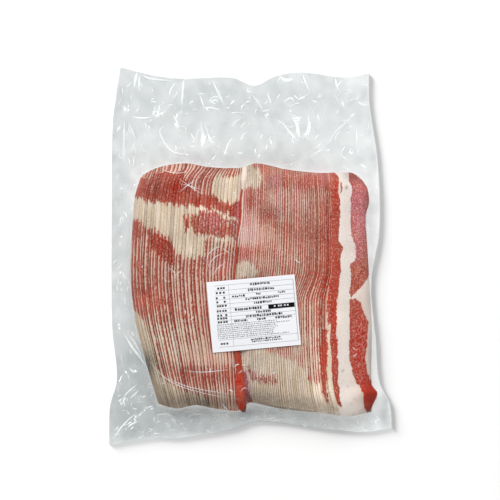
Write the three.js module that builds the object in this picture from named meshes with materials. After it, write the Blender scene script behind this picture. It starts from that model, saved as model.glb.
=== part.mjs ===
// A vacuum pack of thinly sliced beef brisket, lying flat with its paper label up.
// Two rows of slices stand on edge side by side inside a clear, heat-sealed bag. Every slice runs along Y.
// At the +X end the last slices lean over and show their faces. The bag is sealed flat all round the meat.
// Millimetres, +X across the slices, +Y along them, +Z up. The origin is under the middle of the bag.
import * as THREE from "three";

// Heights of the pack.
const CROWN = 50; // the meat's highest part
const SHOULDER = 45; // the meat's top just before its sides round over
const FILM_LEAVES_MEAT = 13; // how high up the meat's sides the film turns outwards
const MARGIN = 3.2; // the two plies of the bag round the meat, with the air between their creases
const SEAL = 1.8; // the welded edges, where the plies are one
const LEAST_FILM = 1.2;
const TOP_SHOWS = 18; // how far above there the slices' relief is at its full depth

// How far in from each side the meat's top rounds over, and how far out the film tents down to its margin.
const ROUND_LEFT = 24;
const ROUND_RIGHT = 44; // the last slices lean over here
const ROUND_TOP = 20;
const ROUND_BOTTOM = 26;
const TENT_SIDES = 6;
const TENT_ENDS = 13;
const ROUNDNESS = 2.2; // the power of the curve that the meat's sides follow
const DOME = { x: 0, y: -35, reach: 150 }; // the crown's place, and how far out the shoulder is
const UNEVEN = 0.6; // the top's shallow bumps

// The rows of slices.
const LEFT_SLICES = 32;
const RIGHT_SLICES = 44;
const LEFT_RELIEF = 1.1; // from the top of a slice's edge down to the gap beside it
const RIGHT_RELIEF = 0.8;
const SEAM_DEPTH = 4.5;
const SEAM_WIDTH = 4.5;
const SEAM_WIDTH_LOW = 7; // towards the pack's near end, where a loose slice lies in the groove
const LEAN_STEP = 1.6; // the drop from the last upright slice to the leaning ones
const LEAN_STEP_WIDTH = 5;
const FACE_DISH = 2.2; // the fat band of the leaning face lies this much deeper than a plain round

// The bag's four edges, each a smooth line through the points where it turns.
// A side's points are (y, x), an end's points are (x, y).
const BAG_TOP = [
  [-148, 215], [-112, 206], [-79, 202], [-21, 203], [5, 194],
  [29, 205], [61, 209], [104, 203.5], [135, 207.5],
];
const BAG_BOTTOM = [
  [-161, -215], [-112, -207.5], [-80, -207.5], [-24, -198],
  [10, -188.5], [90, -198], [132, -200.5], [161, -195.5],
];
const BAG_LEFT = [
  [-215, -161], [-172, -160], [-140, -152], [-80, -157.5],
  [56, -158], [148, -157], [190, -152], [215, -148],
];
const BAG_RIGHT = [
  [-195.5, 161], [-168, 158.5], [-143, 147], [-96, 143], [-29, 138],
  [30, 147], [107, 145], [174, 135.5], [207.5, 135],
];

// The block of meat inside it, in the same way.
const MEAT_LEFT = [
  [-172, -104], [-150, -110.5], [-104, -123.5], [-70, -131.5],
  [-21, -136.5], [45, -133.5], [70, -131], [98, -122],
];
const MEAT_RIGHT = [
  [-172, 139], [-156, 145], [-146, 138.5], [-84, 138.5],
  [-16, 135], [46, 132], [63, 135.5], [92, 131],
];
const MEAT_TOP = [
  [-132, 84], [-122, 93], [-106, 101], [-75, 106], [-45, 101.5], [-12, 101],
  [7, 106], [41, 99], [81, 95], [112, 96], [134, 91],
];
const MEAT_BOTTOM = [
  [-112, -167], [-84, -174], [-62, -170], [-35, -174], [-12, -176],
  [0, -166], [35, -171], [81, -178], [112, -183], [142, -177],
];
// The lines that part the two rows, and the upright slices from the leaning ones.
const SEAM = [[-176, -10.5], [-109, -12.5], [-22, -18], [-5, -16.5], [30, -13.5], [100, -9.5]];
const LAST_UPRIGHT = [[-176, 104], [-150, 97], [-100, 93], [-6, 94], [60, 93], [100, 90]];

// Broad folds of the film: from (x, y), to (x, y), height and half width.
const FOLDS = [
  // straight down from the bag's top edge
  [-140, 214, -134, 120, 3.6, 5], [-98, 204, -88, 168, 3, 6], [-79, 202, -76, 140, 3.4, 6],
  [-44, 201, -32, 136, 3.6, 6], [4, 195, -4, 122, 3.2, 8], [60, 207, 68, 176, 3, 6],
  [96, 203, 90, 166, 3.2, 6],
  // gathered above the meat
  [-96, 160, -66, 116, 4.6, 7], [-30, 150, -52, 112, 4, 7], [22, 160, 40, 112, 4, 8],
  [60, 148, 84, 106, 4.4, 7], [118, 140, 122, 100, 4, 7], [-128, 150, -112, 108, 4.2, 7],
  [-60, 176, 40, 158, 2.6, 8], [46, 178, 116, 160, 2.4, 8],
  // fanning out from the meat's near corners and its near end
  [-112, -172, -140, -204, 4, 8], [-80, -176, -96, -204, 3.4, 7], [-30, -178, -14, -194, 3, 6],
  [-100, -164, -146, -172, 3.2, 7], [-118, -128, -148, -146, 3.6, 7], [-134, -70, -151, -84, 2.4, 6],
  [60, -180, 66, -194, 2.6, 7], [120, -184, 140, -196, 3, 7], [146, -164, 156, -186, 3, 6],
];
const WAVE = 0.7; // height of the ripples all over the margin
const WAVE_X = 46; // their lengths
const WAVE_Y = 58;
const WELD = 12; // how far in from the edge the film is held flat by its weld
const WELD_SHARE = 0.35; // what is left of the ripples and folds on the weld

// The paper label, stuck on top of the film.
const LABEL = { width: 100, depth: 80, thick: 0.6, x: 3.6, y: -65, turn: 5.2 };
const LABEL_COLUMNS = 14;
const LABEL_ROWS = 10;
const LABEL_CLEAR = 0.35;

// How finely the pack is divided: the steps are shares of each stretch.
const ROW_STEPS = [
  0, 0.012, 0.035, 0.07, 0.12, 0.19, 0.27, 0.35, 0.43, 0.51,
  0.59, 0.67, 0.75, 0.83, 0.9, 0.94, 0.968, 0.988, 1,
];
const BOTTOM_STEPS = [0, 0.2, 0.45, 0.7, 0.88];
const TOP_STEPS = [0.06, 0.15, 0.26, 0.38, 0.5, 0.62, 0.74, 0.87, 1];
const SIDE_STEPS = 4;
const FACE_STEPS = 9;
const MARGIN_PARTS = [4, 18, 16, 6, 4]; // columns across each stretch of the pack above and below the meat

const lerp = (a, b, t) => a + (b - a) * t;
const clamp = (value, low, high) => Math.min(high, Math.max(low, value));
const smooth = (t) => t * t * (3 - 2 * t);

// A smooth line through points (t, value), level beyond its two ends.
function through(points) {
  const slope = (i) => {
    const before = points[Math.max(i - 1, 0)];
    const after = points[Math.min(i + 1, points.length - 1)];
    return (after[1] - before[1]) / (after[0] - before[0]);
  };
  return (t) => {
    const at = clamp(t, points[0][0], points.at(-1)[0]);
    const i = clamp(points.findIndex((p) => p[0] > at) - 1, 0, points.length - 2);
    const k = at >= points.at(-1)[0] ? points.length - 2 : i;
    const [t0, v0] = points[k];
    const [t1, v1] = points[k + 1];
    const step = t1 - t0;
    const u = (at - t0) / step;
    const rise = slope(k) * step * u * (1 - u) ** 2;
    const fall = slope(k + 1) * step * u * u * (u - 1);
    return lerp(v0, v1, smooth(u)) + rise + fall;
  };
}

const bagTop = through(BAG_TOP);
const bagBottom = through(BAG_BOTTOM);
const bagLeft = through(BAG_LEFT);
const bagRight = through(BAG_RIGHT);
const meatLeft = through(MEAT_LEFT);
const meatRight = through(MEAT_RIGHT);
const meatTop = through(MEAT_TOP);
const meatBottom = through(MEAT_BOTTOM);
const seam = through(SEAM);
const lastUpright = through(LAST_UPRIGHT);

// The film's height over its flat margin: ripples and broad folds, dying out towards the welded edges.
function marginHeight(x, y) {
  const inside = Math.min(x - bagLeft(y), bagRight(y) - x, bagTop(x) - y, y - bagBottom(x));
  const crests = Math.sin((x / WAVE_X) * 2 * Math.PI + y / 40);
  const rows = Math.cos((y / WAVE_Y) * 2 * Math.PI - x / 33);
  let fold = 0;
  for (const [x0, y0, x1, y1, height, half] of FOLDS) {
    const length = Math.hypot(x1 - x0, y1 - y0);
    const along = clamp(((x - x0) * (x1 - x0) + (y - y0) * (y1 - y0)) / length ** 2, 0, 1);
    const away = Math.hypot(x - lerp(x0, x1, along), y - lerp(y0, y1, along));
    fold = Math.max(fold, height * Math.exp(-((away / half) ** 2)));
  }
  const loose = smooth(clamp(inside / WELD, 0, 1));
  const relief = (WAVE * (crests + rows) + fold) * lerp(WELD_SHARE, 1, loose);
  return Math.max(LEAST_FILM, lerp(SEAL, MARGIN, loose) + relief);
}

// The smooth surface of the pack: the meat's domed top, its rounded sides, the film's tent and the margin.
function packHeight(x, y) {
  const fromLeft = 1 - (x - meatLeft(y)) / ROUND_LEFT;
  const fromRight = 1 - (meatRight(y) - x) / ROUND_RIGHT;
  const fromTop = 1 - (meatTop(x) - y) / ROUND_TOP;
  const fromBottom = 1 - (y - meatBottom(x)) / ROUND_BOTTOM;
  const across = Math.max(0, fromLeft, fromRight);
  const lengthways = Math.max(0, fromTop, fromBottom);
  const out = Math.hypot(across, lengthways); // 0 on top, 1 where the film leaves the meat
  const fall = (away) => Math.max(0, 1 - (away / DOME.reach) ** 2);
  const dome = fall(x - DOME.x) * fall(y - DOME.y);
  const bumps = Math.sin(x / 21 + 1) * Math.cos(y / 34) + 0.8 * Math.sin(y / 19 + x / 60);
  const top = lerp(SHOULDER, CROWN, dome) + UNEVEN * bumps;
  if (out < 1) {
    return lerp(FILM_LEAVES_MEAT, top, (1 - out ** ROUNDNESS) ** (1 / ROUNDNESS));
  }
  const sideSteepness = (fromLeft > fromRight ? ROUND_LEFT : ROUND_RIGHT) / TENT_SIDES;
  const endSteepness = (fromTop > fromBottom ? ROUND_TOP : ROUND_BOTTOM) / TENT_ENDS;
  const steepness = (across ** 2 * sideSteepness + lengthways ** 2 * endSteepness) / out ** 2;
  const margin = marginHeight(x, y);
  return margin + (FILM_LEAVES_MEAT - margin) * Math.exp(-(out - 1) * steepness);
}

// The lines that part the pack from left to right.
// A place across it is the number of the stretch between two of them plus the share of that stretch.
const LINES = [bagLeft, meatLeft, seam, lastUpright, meatRight, bagRight];
const [LEFT_ROW, RIGHT_ROW, END_FACE] = [1, 2, 3];

function across(place, y) {
  const stretch = Math.min(Math.floor(place), LINES.length - 2);
  return lerp(LINES[stretch](y), LINES[stretch + 1](y), place - stretch);
}

// What lies below the smooth surface: gaps between slices, the groove between the rows, the leaning face.
function relief(place, x, y, surface) {
  const onTop = smooth(clamp((surface - FILM_LEAVES_MEAT) / TOP_SHOWS, 0, 1));
  const stretch = Math.floor(place);
  const share = place - stretch;
  const ridge = (count, depth) => -depth * Math.abs(2 * ((share * count) % 1) - 1);
  const grooveWidth = lerp(SEAM_WIDTH, SEAM_WIDTH_LOW, smooth(clamp(-y / 120, 0, 1)));
  const groove = -SEAM_DEPTH * Math.exp(-(((x - seam(y)) / grooveWidth) ** 2));
  let edge = 0;
  if (stretch === LEFT_ROW) {
    edge = ridge(LEFT_SLICES, LEFT_RELIEF);
  } else if (stretch === RIGHT_ROW) {
    edge = ridge(RIGHT_SLICES, RIGHT_RELIEF);
  } else if (stretch === END_FACE) {
    const step = LEAN_STEP * Math.min(1, (x - lastUpright(y)) / LEAN_STEP_WIDTH);
    edge = -step - FACE_DISH * Math.sin(Math.PI * share);
  }
  return (groove + edge) * onTop;
}

// A point of the top surface, from a place across the pack and a share of the way up the meat.
function meatPoint(place, share) {
  let y = lerp(-170, 100, share);
  for (let settle = 0; settle < 4; settle++) {
    const x = clamp(across(place, y), meatLeft(y), meatRight(y));
    y = lerp(meatBottom(x), meatTop(x), share);
  }
  return [across(place, y), y];
}

// A point between the bag's end and the meat. share is 0 at the bag's end and 1 at the meat.
function endPoint(place, share, meatShare, bagEnd, corners) {
  const from = (at) => {
    const [x, y] = meatPoint(at, meatShare);
    const [leftX, rightX] = corners;
    const run = (x - bagLeft(y)) / (bagRight(y) - bagLeft(y));
    const edgeX = lerp(leftX, rightX, run);
    return [lerp(edgeX, x, share), lerp(bagEnd(edgeX), y, share), run];
  };
  const [x, y, run] = from(place);
  const [firstX, firstY] = from(0);
  const [lastX, lastY] = from(LINES.length - 1);
  const toLeft = bagLeft(firstY) - firstX;
  const toRight = bagRight(lastY) - lastX;
  return [x + (1 - run) * toLeft + run * toRight, y];
}

// Places spread evenly over each stretch, from how many steps each has.
function evenPlaces(parts) {
  const steps = (count, stretch) => Array.from({ length: count }, (_, i) => stretch + i / count);
  return [...parts.flatMap(steps), parts.length];
}

// A slice has one column of points along its edge and one down in the gap beside it.
const meatPlaces = evenPlaces([SIDE_STEPS, 2 * LEFT_SLICES, 2 * RIGHT_SLICES, FACE_STEPS, SIDE_STEPS]);
const marginPlaces = evenPlaces(MARGIN_PARTS);
const basePlaces = evenPlaces([1, 1, 1, 1, 1]);

// All rows of points, from the bag's bottom end to its top end.
function packRows() {
  const corners = (edge) => [edge[0][0], edge.at(-1)[0]];
  const near = (share) => (place) => endPoint(place, share, 0, bagBottom, corners(BAG_BOTTOM));
  const far = (share) => (place) => endPoint(place, 1 - share, 1, bagTop, corners(BAG_TOP));
  const middle = (share) => (place) => meatPoint(place, share);
  return [
    ...BOTTOM_STEPS.map((share) => [marginPlaces, near(share)]),
    ...ROW_STEPS.map((share) => [meatPlaces, middle(share)]),
    ...TOP_STEPS.map((share) => [marginPlaces, far(share)]),
  ];
}

// A growing list of corners and triangles.
class Skin {
  constructor() {
    this.corners = [];
    this.faces = [];
  }

  add(x, y, z) {
    this.corners.push(x, y, z);
    return this.corners.length / 3 - 1;
  }

  // Fills the strip between two rows of [place, corner], which may have different numbers of points.
  zip(low, high, facingUp) {
    let i = 0;
    let k = 0;
    while (i < low.length - 1 || k < high.length - 1) {
      const stepLow = k === high.length - 1 || (i < low.length - 1 && low[i + 1][0] <= high[k + 1][0]);
      const next = stepLow ? low[i + 1] : high[k + 1];
      const face = [low[i][1], next[1], high[k][1]];
      this.faces.push(...(facingUp ? face : face.reverse()));
      if (stepLow) {
        i++;
      } else {
        k++;
      }
    }
  }

  // Joins two layers of rows by their four edges.
  close(under, over) {
    const column = (layer, end) => layer.map((row, i) => [i, row.at(end)[1]]);
    this.zip(under[0], over[0], true);
    this.zip(under.at(-1), over.at(-1), false);
    this.zip(column(under, 0), column(over, 0), false);
    this.zip(column(under, -1), column(over, -1), true);
  }

  geometry() {
    const made = new THREE.BufferGeometry();
    made.setAttribute("position", new THREE.Float32BufferAttribute(this.corners, 3));
    made.setIndex(this.faces);
    made.computeVertexNormals();
    return made;
  }
}

function bagGeometry() {
  const skin = new Skin();
  const rows = packRows();
  const top = rows.map(([places, point]) => places.map((place) => {
    const [x, y] = point(place);
    const surface = packHeight(x, y);
    return [place, skin.add(x, y, surface + relief(place, x, y, surface))];
  }));
  const base = rows.map(([places, point], row) => {
    const atEnd = row === 0 || row === rows.length - 1;
    return (atEnd ? places : basePlaces).map((place) => [place, skin.add(...point(place), 0)]);
  });
  for (let row = 1; row < rows.length; row++) {
    skin.zip(top[row - 1], top[row], true);
    skin.zip(base[row - 1], base[row], false);
  }
  skin.close(base, top);
  return skin.geometry();
}

// The label lies on the slices' edges and bridges the gaps between them.
function labelGeometry() {
  const skin = new Skin();
  const turn = THREE.MathUtils.degToRad(LABEL.turn);
  const corner = (column, row, lift) => {
    const u = (column / LABEL_COLUMNS - 0.5) * LABEL.width;
    const v = (row / LABEL_ROWS - 0.5) * LABEL.depth;
    const x = LABEL.x + u * Math.cos(turn) - v * Math.sin(turn);
    const y = LABEL.y + u * Math.sin(turn) + v * Math.cos(turn);
    return [column, skin.add(x, y, packHeight(x, y) + lift)];
  };
  const count = (length) => Array.from({ length: length + 1 }, (_, i) => i);
  const line = (row, lift) => count(LABEL_COLUMNS).map((column) => corner(column, row, lift));
  const layer = (lift) => count(LABEL_ROWS).map((row) => line(row, lift));
  const under = layer(LABEL_CLEAR);
  const over = layer(LABEL_CLEAR + LABEL.thick);
  for (let row = 1; row <= LABEL_ROWS; row++) {
    skin.zip(over[row - 1], over[row], true);
    skin.zip(under[row - 1], under[row], false);
  }
  skin.close(under, over);
  return skin.geometry();
}

function mesh(name, geometry, color, roughness) {
  const made = new THREE.Mesh(geometry, new THREE.MeshStandardMaterial({ color, roughness, metalness: 0 }));
  made.name = name;
  return made;
}

const pack = new THREE.Group();
pack.add(mesh("vacuum_bag", bagGeometry(), 0xc88f82, 0.25));
pack.add(mesh("label", labelGeometry(), 0xf4f4f5, 0.6));

export default pack;
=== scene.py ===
"""A vacuum pack of thinly sliced beef brisket, lying flat with its paper label up.

Two rows of slices stand on edge in a clear heat-sealed bag, and the last slices of the +X end lean over.
Shapes are worked out in millimetres in the CAD model's frame and turned to metres as they are made.
"""

import math

import bpy
import numpy as np
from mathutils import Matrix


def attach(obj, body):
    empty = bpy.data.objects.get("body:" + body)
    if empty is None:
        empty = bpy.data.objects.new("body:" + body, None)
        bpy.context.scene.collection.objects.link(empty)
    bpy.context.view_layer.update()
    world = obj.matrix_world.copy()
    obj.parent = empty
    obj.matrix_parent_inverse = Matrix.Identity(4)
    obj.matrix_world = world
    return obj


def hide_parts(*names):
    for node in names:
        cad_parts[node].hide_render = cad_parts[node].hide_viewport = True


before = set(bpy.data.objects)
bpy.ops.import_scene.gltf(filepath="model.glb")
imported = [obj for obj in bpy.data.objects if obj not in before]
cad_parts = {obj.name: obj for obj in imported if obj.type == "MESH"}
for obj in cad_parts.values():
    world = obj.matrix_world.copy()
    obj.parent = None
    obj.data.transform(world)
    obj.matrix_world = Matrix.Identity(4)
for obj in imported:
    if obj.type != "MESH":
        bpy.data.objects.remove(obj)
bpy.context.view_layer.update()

MM = 0.001
SEED = 11

# Heights of the pack, as in the CAD model.
CROWN = 50
SHOULDER = 45
FILM_LEAVES_MEAT = 13
MARGIN = 3.2
SEAL = 1.8
LEAST_FILM = 1.2
TOP_SHOWS = 18
ROUND_LEFT = 24
ROUND_RIGHT = 44
ROUND_TOP = 20
ROUND_BOTTOM = 26
TENT_SIDES = 6
TENT_ENDS = 13
ROUNDNESS = 2.2
DOME_Y = -35
DOME_REACH = 150
UNEVEN = 0.6

# The rows of slices, as in the CAD model.
LEFT_SLICES = 32
RIGHT_SLICES = 44
SEAM_DEPTH = 4.5
SEAM_WIDTH = 4.5
SEAM_WIDTH_LOW = 7
LEAN_STEP = 1.6
LEAN_STEP_WIDTH = 5
FACE_DISH = 2.2

# Outlines, as in the CAD model: a side's points are (y, x), an end's points are (x, y).
BAG_TOP = [
    (-148, 215), (-112, 206), (-79, 202), (-21, 203), (5, 194),
    (29, 205), (61, 209), (104, 203.5), (135, 207.5),
]
BAG_BOTTOM = [
    (-161, -215), (-112, -207.5), (-80, -207.5), (-24, -198),
    (10, -188.5), (90, -198), (132, -200.5), (161, -195.5),
]
BAG_LEFT = [
    (-215, -161), (-172, -160), (-140, -152), (-80, -157.5),
    (56, -158), (148, -157), (190, -152), (215, -148),
]
BAG_RIGHT = [
    (-195.5, 161), (-168, 158.5), (-143, 147), (-96, 143), (-29, 138),
    (30, 147), (107, 145), (174, 135.5), (207.5, 135),
]
MEAT_LEFT = [
    (-172, -104), (-150, -110.5), (-104, -123.5), (-70, -131.5),
    (-21, -136.5), (45, -133.5), (70, -131), (98, -122),
]
MEAT_RIGHT = [
    (-172, 139), (-156, 145), (-146, 138.5), (-84, 138.5),
    (-16, 135), (46, 132), (63, 135.5), (92, 131),
]
MEAT_TOP = [
    (-132, 84), (-122, 93), (-106, 101), (-75, 106), (-45, 101.5), (-12, 101),
    (7, 106), (41, 99), (81, 95), (112, 96), (134, 91),
]
MEAT_BOTTOM = [
    (-112, -167), (-84, -174), (-62, -170), (-35, -174), (-12, -176),
    (0, -166), (35, -171), (81, -178), (112, -183), (142, -177),
]
SEAM = [(-176, -10.5), (-109, -12.5), (-22, -18), (-5, -16.5), (30, -13.5), (100, -9.5)]
LAST_UPRIGHT = [(-176, 104), (-150, 97), (-100, 93), (-6, 94), (60, 93), (100, 90)]

# The film's broad folds, as in the CAD model: from (x, y), to (x, y), height and half width.
FOLDS = [
    (-140, 214, -134, 120, 3.6, 5), (-98, 204, -88, 168, 3, 6), (-79, 202, -76, 140, 3.4, 6),
    (-44, 201, -32, 136, 3.6, 6), (4, 195, -4, 122, 3.2, 8), (60, 207, 68, 176, 3, 6),
    (96, 203, 90, 166, 3.2, 6),
    (-96, 160, -66, 116, 4.6, 7), (-30, 150, -52, 112, 4, 7), (22, 160, 40, 112, 4, 8),
    (60, 148, 84, 106, 4.4, 7), (118, 140, 122, 100, 4, 7), (-128, 150, -112, 108, 4.2, 7),
    (-60, 176, 40, 158, 2.6, 8), (46, 178, 116, 160, 2.4, 8),
    (-112, -172, -140, -204, 4, 8), (-80, -176, -96, -204, 3.4, 7), (-30, -178, -14, -194, 3, 6),
    (-100, -164, -146, -172, 3.2, 7), (-118, -128, -148, -146, 3.6, 7), (-134, -70, -151, -84, 2.4, 6),
    (60, -180, 66, -194, 2.6, 7), (120, -184, 140, -196, 3, 7), (146, -164, 156, -186, 3, 6),
]
WAVE = 0.7
WAVE_X = 46
WAVE_Y = 58
WELD = 12
WELD_SHARE = 0.35

# The label, as in the CAD model.
LABEL_WIDTH = 100
LABEL_DEPTH = 80
LABEL_X = 3.6
LABEL_Y = -65
LABEL_TURN = math.radians(5.2)
LABEL_CLEAR = 0.35

# The photograph: the real size of its pixels at the pack, and the pixel over the CAD model's origin.
PIXEL = 1.14
MIDDLE_PX = (250.45, 256)
FRAME_PX = 500

# Soft random bumps are a sum of this many waves, over this much.
WAVES = 7
WAVES_REACH = 3.2


def lerp(a, b, t):
    return a + (b - a) * t


def smooth(t):
    """0 to 1 as t goes from 0 to 1, level at both ends."""
    t = np.clip(t, 0, 1)
    return t * t * (3 - 2 * t)


def through(points):
    """A smooth line through points (t, value), level beyond its two ends."""
    t, v = np.array(points, float).T
    last = len(t) - 1
    before = np.maximum(np.arange(last + 1) - 1, 0)
    after = np.minimum(np.arange(last + 1) + 1, last)
    slope = (v[after] - v[before]) / (t[after] - t[before])

    def line(at):
        at = np.clip(at, t[0], t[-1])
        k = np.clip(np.searchsorted(t, at, side="right") - 1, 0, last - 1)
        step = t[k + 1] - t[k]
        u = (at - t[k]) / step
        rise = slope[k] * step * u * (1 - u) ** 2
        fall = slope[k + 1] * step * u * u * (u - 1)
        return lerp(v[k], v[k + 1], smooth(u)) + rise + fall

    return line


bag_top = through(BAG_TOP)
bag_bottom = through(BAG_BOTTOM)
bag_left = through(BAG_LEFT)
bag_right = through(BAG_RIGHT)
meat_left = through(MEAT_LEFT)
meat_right = through(MEAT_RIGHT)
meat_top = through(MEAT_TOP)
meat_bottom = through(MEAT_BOTTOM)
seam = through(SEAM)
last_upright = through(LAST_UPRIGHT)


def stroke_distance(x, y, x0, y0, x1, y1):
    """How far each point lies from a straight stroke."""
    long = (x1 - x0) ** 2 + (y1 - y0) ** 2
    along = np.clip(((x - x0) * (x1 - x0) + (y - y0) * (y1 - y0)) / long, 0, 1)
    return np.hypot(x - lerp(x0, x1, along), y - lerp(y0, y1, along))


def inside_bag(x, y):
    """How far in from the bag's nearest edge a point is."""
    sides = np.minimum(x - bag_left(y), bag_right(y) - x)
    ends = np.minimum(bag_top(x) - y, y - bag_bottom(x))
    return np.minimum(sides, ends)


def margin_height(x, y):
    """How high the loose film stands round the meat."""
    crests = np.sin(x / WAVE_X * 2 * np.pi + y / 40)
    rows = np.cos(y / WAVE_Y * 2 * np.pi - x / 33)
    fold = np.zeros_like(x)
    for x0, y0, x1, y1, height, half in FOLDS:
        away = stroke_distance(x, y, x0, y0, x1, y1)
        fold = np.maximum(fold, height * np.exp(-((away / half) ** 2)))
    loose = smooth(inside_bag(x, y) / WELD)
    relief = (WAVE * (crests + rows) + fold) * lerp(WELD_SHARE, 1, loose)
    return np.maximum(LEAST_FILM, lerp(SEAL, MARGIN, loose) + relief)


def outwards(x, y):
    """How far out a point is, and how steep the film's tent is there.

    The first is 0 on the meat's top and 1 where the film leaves the meat.
    """
    from_left = 1 - (x - meat_left(y)) / ROUND_LEFT
    from_right = 1 - (meat_right(y) - x) / ROUND_RIGHT
    from_top = 1 - (meat_top(x) - y) / ROUND_TOP
    from_bottom = 1 - (y - meat_bottom(x)) / ROUND_BOTTOM
    across = np.maximum(0, np.maximum(from_left, from_right))
    lengthways = np.maximum(0, np.maximum(from_top, from_bottom))
    out = np.hypot(across, lengthways)
    side = np.where(from_left > from_right, ROUND_LEFT, ROUND_RIGHT) / TENT_SIDES
    end = np.where(from_top > from_bottom, ROUND_TOP, ROUND_BOTTOM) / TENT_ENDS
    steepness = (across**2 * side + lengthways**2 * end) / np.maximum(out, 1e-6) ** 2
    return out, steepness


# How far the leaning slices' round far corner falls short of the meat's far end, by x.
far_corner = through([(108, 0), (117, 0.6), (124, 3), (129.5, 8), (134, 15)])


def beyond_meat(x, y):
    """How far out a point is from the meat's outline: over 1 where no meat lies under it."""
    sides = np.maximum(1 - (x - meat_left(y)) / ROUND_LEFT, 1 - (meat_right(y) - x) / ROUND_RIGHT)
    far = 1 - (meat_top(x) - far_corner(x) - y) / ROUND_TOP
    ends = np.maximum(far, 1 - (y - meat_bottom(x)) / ROUND_BOTTOM)
    return np.maximum(sides, ends)


def pack_height(x, y, margin):
    """The smooth surface of the pack over a margin of a given height."""
    out, steepness = outwards(x, y)
    dome_x = np.maximum(0, 1 - (x / DOME_REACH) ** 2)
    dome_y = np.maximum(0, 1 - ((y - DOME_Y) / DOME_REACH) ** 2)
    bumps = np.sin(x / 21 + 1) * np.cos(y / 34) + 0.8 * np.sin(y / 19 + x / 60)
    top = lerp(SHOULDER, CROWN, dome_x * dome_y) + UNEVEN * bumps
    over = lerp(FILM_LEAVES_MEAT, top, np.maximum(0, 1 - out**ROUNDNESS) ** (1 / ROUNDNESS))
    beyond = margin + (FILM_LEAVES_MEAT - margin) * np.exp(-np.maximum(out - 1, 0) * steepness)
    return np.where(out < 1, over, beyond)


def on_top(surface):
    """1 on the meat's top, 0 where the film leaves the meat."""
    return smooth((surface - FILM_LEAVES_MEAT) / TOP_SHOWS)


def seam_groove(x, y):
    """How much lower the film lies in the groove between the rows."""
    width = lerp(SEAM_WIDTH, SEAM_WIDTH_LOW, smooth(-y / 120))
    return -SEAM_DEPTH * np.exp(-(((x - seam(y)) / width) ** 2))


def leaning_drop(x, y):
    """How much lower than the smooth surface the leaning end slices lie."""
    start = last_upright(y)
    share = (x - start) / np.maximum(meat_right(y) - start, 1)
    step = LEAN_STEP * np.clip((x - start) / LEAN_STEP_WIDTH, 0, 1)
    return np.where(share > 0, step + FACE_DISH * np.sin(np.pi * np.clip(share, 0, 1)), 0)


def wobble(x, y, length, seed):
    """Soft random bumps of about this length, between about -1 and 1."""
    draw = np.random.default_rng(seed)
    total = np.zeros_like(x, float)
    for _ in range(WAVES):
        turn = draw.uniform(0, 2 * np.pi)
        stretch = draw.uniform(0.7, 1.6)
        phase = draw.uniform(0, 2 * np.pi)
        total += np.sin((x * np.cos(turn) + y * np.sin(turn)) * 2 * np.pi / (length * stretch) + phase)
    return total / WAVES_REACH


# ---------------------------------------------------------------- modelling by hand


def deselect():
    if bpy.context.object and bpy.context.object.mode != "OBJECT":
        bpy.ops.object.mode_set(mode="OBJECT")
    bpy.ops.object.select_all(action="DESELECT")


def take(piece):
    deselect()
    piece.select_set(True)
    bpy.context.view_layer.objects.active = piece


def places(piece):
    """A piece's vertices as an array of x, y and z."""
    at = np.empty(len(piece.data.vertices) * 3, np.float32)
    piece.data.vertices.foreach_get("co", at)
    return at.reshape(-1, 3).astype(float)


def place(piece, at):
    piece.data.vertices.foreach_set("co", np.ascontiguousarray(at, np.float32).ravel())
    piece.data.update()


def note(piece, **fields):
    """Stores fields for the piece's material: a number for each vertex, or one number for all."""
    for name, values in fields.items():
        layer = piece.data.attributes.new(name, "FLOAT", "POINT")
        spread = np.broadcast_to(np.asarray(values, np.float32), len(piece.data.vertices))
        layer.data.foreach_set("value", np.ascontiguousarray(spread))


def copy_of(blank):
    """A copy of a piece, with a mesh of its own."""
    piece = blank.copy()
    piece.data = blank.data.copy()
    bpy.context.collection.objects.link(piece)
    return piece


def new_grid(name, columns, rows):
    """A flat grid, with where each vertex is across and along it, from 0 to 1."""
    deselect()
    bpy.ops.mesh.primitive_grid_add(x_subdivisions=columns, y_subdivisions=rows, size=2)
    piece = bpy.context.object
    piece.name = piece.data.name = name
    at = places(piece)
    return piece, (at[:, 0] + 1) / 2, (at[:, 1] + 1) / 2


def shade(piece, angle=None):
    take(piece)
    if angle is None:
        bpy.ops.object.shade_smooth()
    else:
        bpy.ops.object.shade_smooth_by_angle(angle=math.radians(angle))


def join(pieces, name):
    take(pieces[0])
    for piece in pieces:
        piece.select_set(True)
    bpy.ops.object.join()
    joined = bpy.context.object
    joined.name = joined.data.name = name
    return joined


def ringed_tube(sides, cuts):
    """A closed tube from -1 to 1, cut across into equal lengths, and these again, as many as cuts gives."""
    deselect()
    bpy.ops.mesh.primitive_cylinder_add(vertices=sides, radius=1, depth=2, end_fill_type="NGON")
    tube = bpy.context.object
    for count in cuts:
        bpy.ops.object.mode_set(mode="EDIT")
        bpy.ops.mesh.select_mode(type="EDGE")
        bpy.ops.mesh.select_all(action="DESELECT")
        bpy.ops.object.mode_set(mode="OBJECT")
        at = places(tube)
        for edge in tube.data.edges:
            low, high = edge.vertices
            edge.select = bool(abs(at[low, 2] - at[high, 2]) > 1e-4)
        bpy.ops.object.mode_set(mode="EDIT")
        bpy.ops.mesh.subdivide(number_cuts=count - 1)
        bpy.ops.object.mode_set(mode="OBJECT")
    return tube


def round_tube(tube, sides):
    """For each vertex of a ringed tube: which of its corners it is at, and how far along, from 0 to 1."""
    at = places(tube)
    turn = np.arctan2(at[:, 1], at[:, 0])
    corner = np.floor(turn / (2 * np.pi) * sides).astype(int) % sides
    return corner, (at[:, 2] + 1) / 2


def wall(piece, thick, offset=-1):
    """Gives a sheet its thickness. offset -1 grows it against the normals."""
    take(piece)
    made = piece.modifiers.new("thickness", "SOLIDIFY")
    made.thickness = thick * MM
    made.offset = offset
    bpy.ops.object.modifier_apply(modifier=made.name)


# ---------------------------------------------------------------- materials


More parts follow.
